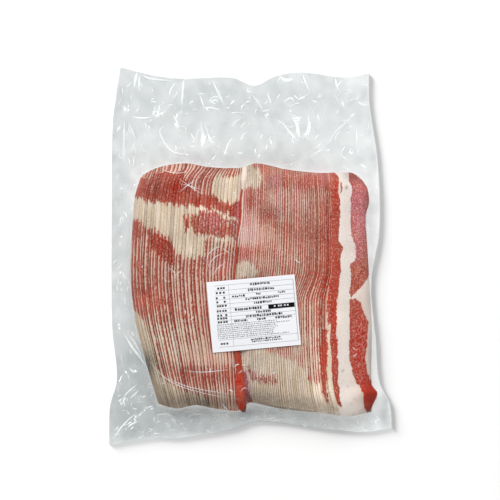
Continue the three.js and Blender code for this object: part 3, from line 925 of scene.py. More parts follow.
# A slice's section, from its left foot over its top to its right foot: share of its width, and drop in mm.
# A drop of FOOT is at the foot.
FOOT = -1
SECTION = [
    (0.004, FOOT), (0.006, 1.3), (0.05, 0.55), (0.16, 0.12), (0.34, 0.0),
    (0.52, 0.1), (0.72, 0.3), (0.92, 0.65), (0.992, 1.3), (0.996, FOOT),
]

# The left row's lines bend over at the meat's far end, from this y over this length, by this much.
BEND_FROM = 78
BEND_OVER = 26
FAR_BEND = 9
# The right row's last slices, past this share of them, fan out towards the near end, between these shares
# of it.
FAN_SHARE = 0.77
FAN_FROM = 0.66
FAN_TO = 0.95


def left_line(share):
    """The line across which two slices of the left row meet: it bends over at the meat's far end."""

    def line(y):
        bend = FAR_BEND * smooth((y - BEND_FROM) / BEND_OVER) ** 2
        bend = bend * np.sin(np.pi * np.clip((share - 0.2) / 0.8, 0, 1))
        return lerp(meat_left(y), seam(y), share) + bend

    return line


def right_line(share):
    """The same in the right row, whose last slices fan out towards the near end."""
    if share < FAN_SHARE:
        fanned = share / FAN_SHARE * FAN_FROM
    else:
        fanned = FAN_FROM + (share - FAN_SHARE) / (1 - FAN_SHARE) * (FAN_TO - FAN_FROM)
    if share > 0.999:
        fanned = 1

    def line(y):
        return lerp(seam(y), last_upright(y), lerp(share, fanned, smooth((-14 - y) / 40)))

    return line


# How far beyond the meat's near outline the upright slices reach, by x.
NEAR_REACH = [(-60, 0), (-42, 1.2), (-14, 0), (3, 1.6), (16, 3.3), (44, 3.2), (58, 2.6), (80, 1.2), (96, 0)]
near_reach = through(NEAR_REACH)


def slice_row(name, lines, rim, face, relief, grain, crest, dark, seed):
    """A row of slices, each a copy of one blank shaped between its two lines. Dark slices are redder."""
    draw = np.random.default_rng(seed)
    blank = ringed_tube(len(SECTION), SLICE_CUTS)
    corner, share = round_tube(blank, len(SECTION))
    share = share - CROWD * np.sin(2 * np.pi * share) / (2 * np.pi)
    across, drop = np.array(SECTION)[corner].T
    pieces = []
    for number, (left, right) in enumerate(zip(lines[:-1], lines[1:])):
        piece = copy_of(blank)
        lift, comb, rim_comb, tone, split, warm = draw.uniform(-1, 1, 6)
        strong = number in dark
        y = lerp(NEAR_GUESS, FAR_GUESS, share)
        for _ in range(FIT_PASSES):
            x = lerp(left(y), right(y), across)
            y = lerp(meat_bottom(x) + SLICE_INSET - near_reach(x), meat_top(x) - SLICE_INSET, share)
        x = lerp(left(y), right(y), across)
        top = pack_height(x, y, 0) - SLICE_CLEAR - SLICE_LIFT * (1 + lift)
        depth = on_top(top)
        dip = drop * relief * lerp(0.3, 1, depth) * (1 - np.clip(patches(x, y, FLUSH), 0, 0.7))
        z = np.where(drop == FOOT, SLICE_FOOT, top + seam_groove(x, y) * depth - dip)
        place(piece, np.column_stack([x, y, z]) * MM)
        ragged = wobble(x, y, 14, seed + 3)
        pointed = np.where(across > 0.5, np.abs(np.clip(across * 2 - 1, 0, 1) * 2 - 1), 0)
        rim_y = y + RIM_COMB * rim_comb + WANDER * wobble(x, y, 20, seed + 5)
        face_y = y + FACE_COMB * (comb + pointed) + WANDER * wobble(x, y, 20, seed + 6)
        redder = patches(x, y, REDDER) + 0.2 * wobble(x, y, 20, seed + 8)
        level = 0.5 + 0.12 * split + patches(x, y, RIM_SHARE) + 0.08 * wobble(x, y, 24, seed + 50 + number)
        note(
            piece,
            rim=paint(x + ragged, rim_y, rim),
            face=paint(x + ragged, face_y, face),
            across=across,
            split=level - 0.28 * redder - 0.14 * strong,
            tone=1 + grain * 0.5 * tone - 0.16 * strong + patches(x, y, TONES),
            warmth=0.35 * warm + patches(x, y, WARMTH) + 0.3 * strong,
            speckle=grain + patches(x, y, SPECKLES),
            gap=(0.55 + 0.35 * comb) * (1 + 0.6 * strong) + patches(x, y, GAP_SHADE),
            stain=np.minimum(0.6 + 0.2 * tone + 0.5 * redder + patches(x, y, STAINS), 1),
            crest=crest + patches(x, y, CRESTS),
        )
        pieces.append(piece)
    bpy.data.objects.remove(blank)
    row = join(pieces, name)
    shade(row, 60)
    return row


# Each row: its name, its lines, how many slices, how much their widths vary, and then its coats, how deep
# its edges are pressed, how grainy it is, how strong the painted highlights on its rims' crests are, and
# which slices are darker.
ROWS = [
    ("left_row", left_line, LEFT_SLICES, 0.35, (LEFT_RIM, LEFT_FACE, 1.0, 0.14, 0.4, (4, 6, 12, 16, 19, 22))),
    ("right_row", right_line, RIGHT_SLICES, 0.28, (RIGHT_RIM, RIGHT_FACE, 0.7, 0.16, 0.1, (36, 41))),
]


def upright_rows():
    made = []
    for number, (name, line, count, spread, looks) in enumerate(ROWS):
        draw = np.random.default_rng(SEED + number)
        widths = 1 + spread * draw.uniform(-1, 1, count)
        shares = np.concatenate([[0], np.cumsum(widths)]) / np.sum(widths)
        lines = [line(share) for share in shares]
        made.append(slice_row(name, lines, *looks, SEED + 20 + 10 * number))
    return made


# ---------------------------------------------------------------- the leaning end slices

END_LAYERS = 3
END_LAYER_STEP = 2.8
END_THICK = 2.4
# The share of a leaning slice that lies on the pack's end. The rest of it hangs down the side.
END_WRAP = 0.85
END_COLUMNS = 56
END_ROWS = 190


def end_slice(layer):
    """One leaning slice: a sheet over the slope of the pack's end and down its side."""
    piece, u, v = new_grid("end_slice", END_COLUMNS, END_ROWS)
    y = lerp(NEAR_GUESS, FAR_GUESS, v)
    for _ in range(FIT_PASSES):
        start = last_upright(y) - SLICE_INSET - 2.4 * smooth((-60 - y) / 40) + 1.5 * layer
        end = meat_right(y) - SLICE_INSET - 1.2 * layer
        x = lerp(start, end, np.minimum(u / END_WRAP, 1))
        y = lerp(meat_bottom(x) + SLICE_INSET, meat_top(x) - SLICE_INSET - far_corner(x), v)
    hang = np.clip((u - END_WRAP) / (1 - END_WRAP), 0, 1)
    smooth_top = pack_height(x, y, 0)
    top = smooth_top - SLICE_CLEAR - leaning_drop(x, y) * on_top(smooth_top) - END_LAYER_STEP * layer
    top += 0.35 * wobble(x, y, 26, SEED + 60 + layer)
    lowest = END_THICK + 0.2
    z = np.maximum(lerp(top, lowest, hang), lowest)
    place(piece, np.column_stack([x, y, z]) * MM)
    lookup_x = x + 0.5 * wobble(x, y, 9, SEED + 70)
    lookup_y = y + 0.5 * wobble(x, y, 9, SEED + 71)
    lean = paint(lookup_x, lookup_y, END_COATS if layer == 0 else [("lean", RIGHT_ALL)])
    note(
        piece,
        rim=lean,
        face=lean,
        across=0,
        split=0.5,
        # Each lower layer is painted darker, as shade under the slice above it.
        tone=1.04 - 0.1 * layer + patches(x, y, END_TONES),
        warmth=patches(x, y, END_WARMTH),
        speckle=np.maximum(0.08 + 0.14 * smooth(lean / 3) + patches(x, y, END_SPECKLES), 0),
        veins=patches(x, y, END_VEINS),
        plain_fat=1,
    )
    wall(piece, END_THICK)
    return piece


def end_slices():
    piece = join([end_slice(layer) for layer in range(END_LAYERS)], "leaning_slices")
    shade(piece, 60)
    return piece


# ---------------------------------------------------------------- the slice in the seam

# The loose slice's middle and half width along the groove, in mm.
SEAM_MIDDLE = [
    (-178, -7.4), (-173, -8.8), (-168.5, -10), (-160.5, -11.3), (-143, -12.5), (-128, -12.5), (-110, -15),
    (-60, -18), (-25, -18.6),
    (-5, -16.6), (18, -14.2), (44, -10.4), (66, -9.8), (76, -8.4), (90, -7.4), (103, -6.6),
]
SEAM_HALF = [
    (-178, 1.6), (-173, 4.3), (-168.5, 5.4), (-160.5, 6.2), (-143, 5.7), (-128, 4.0), (-110, 3.7), (-60, 1.2),
    (-25, 1.2), (18, 1.6), (40, 2.0), (55, 2.2), (68, 2.2), (76, 2.0), (82, 2.7), (92, 3.0), (103, 2.4),
]
SEAM_THICK = 2.0
SEAM_NEAR = -178.0
SEAM_FAR = 102.5
# It is white beyond the first of these y, and pale on its right side beyond the second.
WHITE_ABOVE = 75.5
PALE_RIGHT_ABOVE = 2
SEAM_GLOW = [(237, 380, 5, 6, 1.0), (241, 406, 4, 4, 0.5)]
SEAM_TONES = [(240, 398, 7, 10, 0.16)]


def seam_slice():
    """A loose slice in the groove between the rows, white at its far end and broad at its near end."""
    piece, u, v = new_grid("seam_slice", 10, 190)
    middle, half = through(SEAM_MIDDLE), through(SEAM_HALF)
    y = lerp(SEAM_NEAR, SEAM_FAR, v)
    beside = u * 2 - 1
    x = middle(y) + beside * half(y)
    top = pack_height(x, y, 0)
    deep = lerp(2.6, 0.4, smooth((y - 70) / 20)) * on_top(top)
    z = top - SLICE_CLEAR - deep + 1.1 * (1 - beside**2)
    place(piece, np.column_stack([x, y, z]) * MM)
    pale_right = lerp(5, 5 * (0.1 - beside), smooth((y - PALE_RIGHT_ABOVE) / 14))
    lean = np.clip(np.minimum(WHITE_ABOVE - y + 1.5 * beside**2, pale_right), -5, 5)
    glow = patches(x, y, SEAM_GLOW)
    note(
        piece,
        rim=lean,
        face=lean,
        across=0,
        split=0.5,
        # Darker towards both sides, as painted shade where the slice sinks into the groove.
        tone=0.98 + 0.06 * glow + patches(x, y, SEAM_TONES) - 0.12 * beside**2,
        warmth=0.5 + 0.9 * glow,
        speckle=0.06,
        plain_fat=1,
    )
    wall(piece, SEAM_THICK)
    shade(piece, 60)
    return piece


# ---------------------------------------------------------------- film

FILM_COLUMNS = 236
FILM_ROWS = 306
FILM_CLEAR = 0.1
# The film's least heights above the table: of the upper ply, and of the lower ply.
UPPER_LEAST = 0.9
LOWER_LEAST = 0.3
# The crumpled film's facets repeat after this many.
TILES = 120

# Where the loose film is greyer, as soft patches like the meat's: partly where it is crumpled small, and
# partly painted shade along the meat's foot and on the margin below its near edge.
FILM_GREY_AND_SHADE = [
    (115, 250, 20, 140, 0.55), (131, 290, 5, 70, 0.3), (130, 400, 40, 60, 0.7), (200, 425, 90, 20, 0.45),
    (330, 421, 60, 10, 0.4), (255, 411, 70, 7, 0.5), (136, 355, 10, 30, 0.25), (250, 100, 200, 60, 0.5),
    (150, 110, 40, 60, 0.1), (250, 160, 130, 14, 0.36), (372, 260, 4, 110, 0.25), (180, 414, 30, 6, 0.25),
    (141, 370, 6, 26, 0.3), (150, 396, 8, 14, 0.3), (120, 150, 14, 16, -0.15), (133, 150, 10, 10, -0.12),
    (246, 413, 12, 4, 0.4), (325, 414, 26, 3, 0.15), (205, 100, 40, 30, 0.08), (385, 408, 5, 22, 0.6),
    (342, 421, 14, 8, -0.15), (200, 424, 50, 8, 0.15), (138, 434, 14, 6, 0.2), (250, 428, 120, 5, 0.1),
]


def bag_point(u, v):
    """A place on the bag, from where it is across and along it."""
    low_x = lerp(BAG_BOTTOM[0][0], BAG_BOTTOM[-1][0], u)
    high_x = lerp(BAG_TOP[0][0], BAG_TOP[-1][0], u)
    left_y = lerp(BAG_LEFT[0][0], BAG_LEFT[-1][0], v)
    right_y = lerp(BAG_RIGHT[0][0], BAG_RIGHT[-1][0], v)
    near = np.array([low_x, bag_bottom(low_x)])
    far = np.array([high_x, bag_top(high_x)])
    left = np.array([bag_left(left_y), left_y])
    right = np.array([bag_right(right_y), right_y])
    low = np.array([low_x, lerp(BAG_BOTTOM[0][1], BAG_BOTTOM[-1][1], u)])
    high = np.array([high_x, lerp(BAG_TOP[0][1], BAG_TOP[-1][1], u)])
    return lerp(near, far, v) + lerp(left, right, u) - lerp(low, high, v)


def crumple(x, y, cell, stretch, turn, seed):
    """Facets with sharp ridges, as in crumpled film: how far off the middle of the nearest is, in cells."""
    draw = np.random.default_rng(seed)
    along = (x * np.cos(turn) + y * np.sin(turn)) / (cell * stretch) + 40
    beside = (y * np.cos(turn) - x * np.sin(turn)) / cell + 60
    jitter = draw.uniform(0, 1, (2, TILES, TILES))
    i, j = np.floor(along).astype(int), np.floor(beside).astype(int)
    nearest = np.full(x.shape, 1e9)
    for step_i in (-1, 0, 1):
        for step_j in (-1, 0, 1):
            ci, cj = (i + step_i) % TILES, (j + step_j) % TILES
            di = i + step_i + jitter[0, ci, cj] - along
            dj = j + step_j + jitter[1, ci, cj] - beside
            nearest = np.minimum(nearest, np.hypot(di * stretch, dj))
    return nearest


def facets(x, y):
    """The crumpled film's height above its smooth course."""
    bend_x = x + 5 * wobble(x, y, 60, SEED + 80)
    bend_y = y + 5 * wobble(x, y, 60, SEED + 81)
    broad = crumple(bend_x, bend_y, 13, 2.2, 1.1, SEED + 2)
    fine = crumple(bend_x, bend_y, 6.5, 1.8, 2.3, SEED + 3)
    return 1.7 * (broad - 0.55) + 0.7 * (fine - 0.5)


def film_height(x, y):
    """The upper ply: drawn tight over the meat, and crumpled where it is loose."""
    out, _ = outwards(x, y)
    margin = margin_height(x, y)
    height = pack_height(x, y, margin)
    top = on_top(height)
    over = height + 0.5 * seam_groove(x, y) * top - leaning_drop(x, y) * top
    loose = lerp(0.25, 1, smooth(inside_bag(x, y) / WELD)) * smooth((out - 0.85) / 0.4)
    return np.maximum(over + facets(x, y) * loose, UPPER_LEAST) + FILM_CLEAR


def film_sheet(name, columns, rows, is_upper):
    piece, u, v = new_grid(name, columns, rows)
    x, y = bag_point(u, v)
    out, _ = outwards(x, y)
    if is_upper:
        z = film_height(x, y)
    else:
        margin = margin_height(x, y) - LEAST_FILM + 0.5 * facets(x, y) * smooth(inside_bag(x, y) / WELD)
        z = np.maximum(lerp(LOWER_LEAST, 0.4 + 0.5 * margin, smooth((out - 1) / 0.6)), LOWER_LEAST)
    place(piece, np.column_stack([x, y, z]) * MM)
    beyond = beyond_meat(x, y)
    # How grey the film is: crumpling, and painted shade along the meat's foot and below its near edge.
    crumpled = patches(x, y, FILM_GREY_AND_SHADE) + 0.05 * wobble(x, y, 17, SEED + 90) - 0.1 * facets(x, y)
    note(
        piece,
        loose=smooth((beyond - 1.0) / 0.25),
        dull=smooth((beyond - 0.99) / 0.05) * np.clip(crumpled, 0.05, 1),
    )
    return piece


def film():
    """The bag: a fine upper ply and a coarser lower ply, joined all round at their edges."""
    upper = film_sheet("film_upper", FILM_COLUMNS, FILM_ROWS, True)
    lower = film_sheet("film_lower", FILM_COLUMNS // 2, FILM_ROWS // 2, False)
    take(lower)
    bpy.ops.object.mode_set(mode="EDIT")
    bpy.ops.mesh.select_all(action="SELECT")
    bpy.ops.mesh.flip_normals()
    bpy.ops.object.mode_set(mode="OBJECT")
    bag = join([upper, lower], "clear_film")
    bpy.ops.object.mode_set(mode="EDIT")
    bpy.ops.mesh.select_mode(type="EDGE")
    bpy.ops.mesh.select_all(action="DESELECT")
    bpy.ops.mesh.select_non_manifold()
    bpy.ops.mesh.bridge_edge_loops()
    bpy.ops.object.mode_set(mode="OBJECT")
    shade(bag)
    return bag


# ---------------------------------------------------------------- creases

CREASE_CUTS = 13
CREASE_LIFT = 0.12

# Creases that the photograph shows, as points along each in its pixels: broad, fine, and faint ones over
# the meat.
BROAD_CREASES = [
    [(137, 72), (135, 80), (134, 87)], [(184, 80), (182.5, 92), (182, 107)],
    [(212, 80), (218, 92), (224, 105)], [(235, 100), (230, 105)], [(202, 108), (211, 108), (221, 110)],
    [(206, 133), (204, 141), (202, 147)], [(302, 73), (306, 84), (311, 94)],
    [(278, 75), (286, 81), (293, 79)], [(292, 114), (299, 120), (291, 121)],
    [(299, 120), (297, 130), (301, 140)], [(275, 118), (284, 125), (291, 134), (299, 142)],
    [(363, 165), (366, 169)], [(308, 114), (309, 124), (306, 134), (302, 141)],
    [(122, 331), (131, 345), (140, 357), (146, 367)], [(128, 333), (136, 345), (143, 359)],
    [(188, 421), (190, 415), (200, 413), (211, 412)], [(266, 414), (274, 418), (281, 423)],
    [(302, 425), (307, 426)], [(338, 427), (345, 430)], [(116, 132), (121, 126)],
    [(155, 415), (166, 414), (176, 417)], [(205, 107), (209, 112)],
]
# Small flat facets, painted white whole as a highlight.
FOLDED_FACETS = [
    [(291, 114), (296, 123), (300, 139)], [(279, 76), (286, 80), (293, 79)], [(360, 164), (366, 169)],
    [(202, 129), (203.5, 138), (201, 147)], [(183.5, 80), (183, 92), (181.5, 106)],
    [(137, 72), (135.5, 80), (134, 88)], [(174, 123), (180, 129)], [(289, 119), (296, 119), (302, 117)],
]
FINE_CREASES = [
    [(142, 75), (152, 79), (175, 81)], [(140, 74), (139, 84), (140, 93)],
    [(175.5, 82), (171, 90), (169, 97)], [(178, 90), (174, 99)], [(200, 95), (202, 101), (204, 108)],
    [(209, 104), (212, 98), (217, 97), (219, 100)], [(211, 103), (215, 100), (219, 103)],
    [(161, 109), (155, 112), (152, 116)], [(166, 111), (160, 114), (154, 118)],
    [(129, 117), (142, 118), (154, 117)], [(128, 122), (132, 131), (136, 140)],
    [(173, 115), (176, 120), (179, 127)], [(178, 113), (176, 119)],
    [(167, 123), (160, 130), (162, 138), (170, 150), (181, 154), (190, 153)],
    [(200, 119), (202, 128), (202, 137), (200, 144)], [(203, 120), (207, 130), (210, 140), (217, 144)],
    [(190, 132), (195, 141)], [(199, 128), (196, 138)], [(244, 116), (236, 122), (229, 129)],
    [(246, 121), (240, 128)], [(247, 131), (243, 135), (240, 141)],
    [(234, 136), (229, 142), (226, 150), (223, 158)], [(217, 154), (211, 161)],
    [(229, 113), (238, 113), (248, 115)], [(267, 92), (271, 104)], [(335, 76), (337, 87), (343, 95)],
    [(343, 80), (337, 87), (342, 92)], [(277, 99), (280, 94)], [(282, 103), (288, 99), (291, 97)],
    [(291, 98), (295, 102)], [(296, 100), (302, 98), (309, 94)], [(288, 107), (296, 104), (300, 104)],
    [(310, 119), (310, 128), (307, 137)], [(309, 158), (316, 153), (323, 149)],
    [(323, 142), (316, 148), (311, 151)], [(326, 147), (335, 133), (345, 123), (356, 113)],
    [(340, 130), (336, 137), (335, 144)], [(346, 145), (343, 150), (340, 156)],
    [(356, 127), (357, 142), (358, 158)], [(345, 97), (350, 93), (353, 97)], [(349, 101), (354, 99)],
    [(356, 100), (361, 104), (369, 105)], [(349, 117), (355, 114)], [(251, 94), (257, 101), (263, 110)],
    [(247, 122), (251, 126)], [(264, 115), (268, 119)], [(262, 134), (261, 139)],
    [(126, 338), (133, 349), (140, 358)], [(131, 331), (135, 337)], [(139, 384), (130, 390), (121, 401)],
    [(140, 389), (135, 394), (129, 399)], [(113, 440), (119, 430), (128, 420), (137, 412)],
    [(139, 421), (132, 424), (127, 428)], [(150, 410), (154, 407)], [(170, 417), (176, 423)],
    [(208, 411), (220, 415), (234, 421)], [(221, 401), (227, 409), (233, 418)],
    [(270, 422), (278, 420), (286, 418)], [(313, 424), (317, 427)], [(327, 425), (330, 423)],
    [(352, 421), (356, 423)], [(364, 426), (368, 430)], [(124.5, 118), (124, 140), (124, 166)],
    [(133, 140), (134, 155), (133.5, 168)], [(129, 368), (135, 373)],
]
FAINT_CREASES = [
    [(179, 179), (191, 187), (203, 195)], [(180, 184), (192, 187), (204, 191)],
    [(179, 193), (188, 186), (198, 179)], [(160, 168), (168, 172), (180, 173.5), (192, 171)],
    [(206, 262), (209, 254), (216, 248), (225, 246)], [(207, 270), (211, 262), (217, 256), (227, 252)],
    [(213, 275), (218, 268), (226, 262)], [(222, 248), (231, 254)], [(170, 267), (175, 273), (177, 281)],
    [(182, 270), (176, 275)], [(143, 350), (158, 370), (178, 384), (208, 393), (240, 399)],
    [(166, 376), (190, 386), (236, 394)], [(182, 370), (206, 371), (234, 368)],
    [(188, 245), (192, 250), (190, 256)], [(180, 318), (186, 322)], [(240, 391), (244, 387), (248, 388)],
    [(238, 373), (243, 369)], [(351, 346), (356, 350)], [(357, 352), (352, 357)],
]
# Small dents in the film, painted white as highlights.
DENTS = [
    (153, 90), (153, 102), (162, 103), (171, 106), (191, 103), (214, 103), (228, 107), (138, 110),
    (150, 127), (178, 126), (202, 132), (151, 121), (249, 93), (249, 98), (248, 103), (256, 111),
    (267, 147), (256, 151), (314, 102), (314, 110), (337, 112), (346, 95), (357, 97), (366, 85), (292, 100),
    (124, 404), (135, 408), (128, 412), (134, 417), (125, 424), (155, 419), (166, 426), (181, 425),
    (199, 423), (215, 418), (324, 419), (131, 97), (175, 148), (184, 150), (195, 109), (243, 107),
    (342, 104), (320, 97), (290, 111), (145, 126),
]
# Each kind's half width in mm and whiteness, the white being a painted highlight along the crease.
CREASE_KINDS = [
    (FOLDED_FACETS, 1.35, 1.0), (BROAD_CREASES, 0.95, 1.0), (FINE_CREASES, 0.7, 1.0),
    (FAINT_CREASES, 0.36, 0.6),
]
# Creases strewn at random: how many, over which box of pixels, how long, how they are turned in degrees,
# and how far they differ from that.
STREWN = [
    (26, (125, 76, 365, 115), 12, 80, 40), (44, (125, 95, 370, 158), 11, 55, 60),
    (36, (115, 90, 132, 420), 12, 85, 20), (50, (115, 380, 160, 440), 8, 35, 40),
    (90, (160, 408, 350, 432), 9, 10, 40), (14, (345, 412, 388, 432), 9, 30, 40),
    (8, (374, 170, 384, 425), 10, 90, 20), (22, (140, 170, 330, 400), 8, 50, 60),
]
# How far inside the bag's edge a strewn crease stays, in mm.
CREASE_INSET = 1.5


def crease(blank, points, half, whiteness):
    """A sharp crease: a low ridge on the film that tapers to both ends, painted white along it as a
    highlight.
    """
    piece = copy_of(blank)
    corner, along = round_tube(piece, 3)
    steps = np.linspace(0, 1, len(points))
    px, py = np.array(points, float).T
    x, y = to_mm(px, py)
    line_x, line_y = through(np.column_stack([steps, x])), through(np.column_stack([steps, y]))
    behind, ahead = np.maximum(along - 0.02, 0), np.minimum(along + 0.02, 1)
    ahead_x, ahead_y = line_x(ahead) - line_x(behind), line_y(ahead) - line_y(behind)
    long = np.hypot(ahead_x, ahead_y)
    taper = np.sin(np.pi * np.clip(along, 0.02, 0.98)) ** 0.6
    side = np.array([0, -1, 1])[corner] * half * taper
    x = line_x(along) - ahead_y / long * side
    y = line_y(along) + ahead_x / long * side
    z = film_height(x, y) + CREASE_LIFT + np.where(corner == 0, 0.6 * half * taper, 0)
    place(piece, np.column_stack([x, y, z]) * MM)
    # The crease's white, a painted highlight, tapers with it.
    note(piece, loose=whiteness * taper)
    return piece


def random_creases(draw, count, box, length, turn, spread):
    """Creases strewn over a box of the photograph, of about this length and turned about this way."""
    made = []
    for _ in range(count):
        cx, cy = draw.uniform(box[0], box[2]), draw.uniform(box[1], box[3])
        half_long = length * draw.uniform(0.35, 1.0) / 2
        a = math.radians(turn + spread * draw.normal())
        bow = half_long * draw.uniform(-0.3, 0.3)
        dx, dy = math.cos(a), -math.sin(a)
        points = [
            (cx - dx * half_long, cy - dy * half_long),
            (cx - dy * bow, cy + dx * bow),
            (cx + dx * half_long, cy + dy * half_long),
        ]
        made.append((points, draw.uniform(0.28, 0.6), draw.uniform(0.35, 1.0)))
    return made


def is_inside_bag(points):
    x, y = to_mm(*np.array(points, float).T)
    return np.min(inside_bag(x, y)) > CREASE_INSET


def creases():
    draw = np.random.default_rng(SEED + 7)
    kept = [(points, half, white) for kind, half, white in CREASE_KINDS for points in kind]
    for x, y in DENTS:
        turn = draw.uniform(0, math.pi)
        kink = draw.uniform(-1.6, 1.6)
        long = draw.uniform(1.6, 3.6)
        dx, dy = long * math.cos(turn), long * math.sin(turn)
        middle = (x - kink * math.sin(turn), y + kink * math.cos(turn))
        kept.append(([(x - dx, y - dy), middle, (x + dx, y + dy)], draw.uniform(0.4, 0.75), 1.0))
    for kind in STREWN:
        kept += [made for made in random_creases(draw, *kind) if is_inside_bag(made[0])]
    blank = ringed_tube(3, [CREASE_CUTS])
    pieces = [crease(blank, *made) for made in kept]
    bpy.data.objects.remove(blank)
    piece = join(pieces, "film_creases")
    shade(piece, 30)
    return piece


# ---------------------------------------------------------------- the film's cut edges

# The heights of the lip's top and foot, how far inside the bag's outline it stands, and its thickness, in mm.
CUT_LIP = 3.8
CUT_FOOT = 0.2
CUT_INSET = 0.4
CUT_THICK = 0.5
CUT_STEPS = 160

# The bag's right and near edges, each from corner to corner as shares across and along the bag, and how
# white.
CUT_EDGES = [("cut_edge_right", (1, 0), (1, 1), 1.0), ("cut_edge_near", (0, 0), (1, 0), 0.4)]


def cut_edge(name, start, end, whiteness):
    """A stretch of the bag's stiff cut edge: a thin lip that stands up from the table."""
    piece, along, up = new_grid(name, CUT_STEPS, 3)
    x, y = bag_point(lerp(start[0], end[0], along), lerp(start[1], end[1], along))
    is_right = start[0] * end[0]
    is_near = 1 - max(start[1], end[1])
    z = lerp(CUT_FOOT, CUT_LIP, up)
    place(piece, np.column_stack([x - CUT_INSET * is_right, y + CUT_INSET * is_near, z]) * MM)
    note(piece, loose=whiteness)
    wall(piece, CUT_THICK, 0)
    return piece


# ---------------------------------------------------------------- label


def label_point(across, along, lift):
    """A place on the label, in mm from its top left corner, and lift above the film."""
    u = across - LABEL_WIDTH / 2
    v = LABEL_DEPTH / 2 - along
    x = LABEL_X + u * math.cos(LABEL_TURN) - v * math.sin(LABEL_TURN)
    y = LABEL_Y + u * math.sin(LABEL_TURN) + v * math.cos(LABEL_TURN)
    z = pack_height(x, y, 0) + LABEL_CLEAR + lift
    return np.column_stack([x, y, z]) * MM


# The paper's thickness, and how far apart the layers of print lie, so that each shows over the one below.
PAPER = 0.15
INK_LIFT = 0.04


def label():
    piece, u, v = new_grid("paper_label", 50, 40)
    place(piece, label_point(u * LABEL_WIDTH, (1 - v) * LABEL_DEPTH, PAPER))
    wall(piece, PAPER)
    shade(piece, 40)
    return piece


# The print. Rules across the label, then rows of dashes where words would be: each row's height down the
# label, where it starts and ends, how high its dashes are and how black. Then the column of dots on the
# left.
RULES = [4.9, 10.7, 16.2, 21, 26.2, 31.2, 36.4, 40.6, 44.7, 66.5, 74.5]
WORDS = [
    (6.8, 48.9, 71.4, 2.9, 1), (13, 46, 75, 3.3, 1), (18.2, 54.7, 60.4, 2.6, 1), (18.5, 79.9, 87.6, 2.8, 1),
    (18.7, 27.5, 42.1, 2.9, 1), (23, 42.3, 80.1, 2.8, 1), (27.9, 51.6, 71, 3.0, 1), (33.8, 29.3, 59, 3.2, 1),
    (38.4, 52.9, 70, 2.6, 1), (42.5, 41.1, 83.4, 2.9, 1), (46.5, 53.3, 63.8, 2.7, 1),
    (46.7, 73.9, 92.2, 2.8, 1), (46.6, 27.5, 41.8, 2.7, 1), (68.9, 44.4, 78.1, 2.3, 0.9),
    (71.4, 45.3, 78.5, 1.9, 0.85),
]
DOTS = [
    (8.2, [12.7, 16.1, 19]), (13.3, [10.6, 14.5, 18.5]), (19.1, [10, 18.6]), (23.7, [10.2, 18.7]),
    (28.2, [10.4, 13.2, 16, 19.4]), (33.9, [9.8, 12.7, 16.1, 18.9]), (38.9, [9.9, 13.3, 19]),
    (42.4, [9.6, 13, 15.9, 18.7]), (46.5, [9.8, 12.7, 16.1, 18.9]), (71, [11, 13.9, 17.3]),
]
# The small print's first and last height and its pitch, and how wide its lines run.
SMALL_PRINT = (49.6, 66, 2.15)
SMALL_LEFT = 7.5
SMALL_RIGHT = (55, 90)
# The black box's left, top, width and height, and the blobs on it. Then the frame's tint and its two
# upright rules.
BLACK_BOX = (67.2, 31.4, 29.8, 5)
BOX_BLOBS = [74.5, 79.1, 81.7, 85.9, 89.3]
TINT = (1.5, 1.5, 97, 77, 0.05)
UPRIGHT_RULES = [(24.2, 4.9, 0.4, 69.6, 0.6), (97.4, 4.9, 0.7, 69.6, 0.6)]


def dashes(draw, down, start, end, high, ink):
    """A row of short dashes between start and end."""
    made = []
    x = start
    while x < end:
        wide = draw.uniform(1.0, 2.4)
        tall = high * draw.uniform(0.6, 1.0)
        top = down - high / 2 + (high - tall) * draw.uniform(0, 1)
        made.append((x, top, min(wide, end - x + 0.5), tall, min(ink * draw.uniform(0.85, 1.2), 1)))
        x += wide + draw.uniform(0.4, 1.1)
    return made


def label_layers():
    """The print, with bars and dots in place of words: a tint, what lies on it, and what lies on the box.

    Each mark is left, top, width, height and ink.
    """
    draw = np.random.default_rng(SEED + 40)
    marks = [(8, down, 89.5, 0.4, 0.65) for down in RULES] + UPRIGHT_RULES
    for word in WORDS:
        marks += dashes(draw, *word)
    for down, places_across in DOTS:
        marks += [(x - 1.1, down - 1.1, 2.2, 2.3, draw.uniform(0.9, 1)) for x in places_across]
    for down in np.arange(*SMALL_PRINT):
        marks += dashes(draw, down, SMALL_LEFT, draw.uniform(*SMALL_RIGHT), 1.4, 0.62)
    marks.append((*BLACK_BOX, 1.0))
    blobs = [(x - 0.9, 32.6, 1.8, 1.9, 0.25) for x in BOX_BLOBS]
    return [TINT], marks, blobs


def print_on_label():
    blocks = []
    for number, layer in enumerate(label_layers()):
        for left, top, wide, high, ink in layer:
            piece, u, v = new_grid("mark", max(1, round(wide / 8)), max(1, round(high / 8)))
            lift = PAPER + INK_LIFT * (number + 1)
            place(piece, label_point(left + u * wide, top + (1 - v) * high, lift))
            note(piece, ink=ink)
            blocks.append(piece)
    return join(blocks, "label_print")


# ---------------------------------------------------------------- studio

CAMERA_HEIGHT = 6.0
SENSOR = 36
FLOOR_SIZE = 8.0
# Each softbox: its place and its width and height in metres, and its watts.
KEY = ((-0.15, 2.2, 2.7), (1.9, 1.9), 98)
SPARKLE = ((-1.5, 0.8, 1.5), (0.16, 0.16), 4)
SPARKLE_TOP = ((0.4, 1.8, 1.4), (0.16, 0.16), 0.6)
# The low lamp: its strength, how wide it seems, and how it is turned.
WASH = 9.7
WASH_WIDE = math.radians(28)
WASH_TURN = (0, math.radians(-71), math.radians(-42))


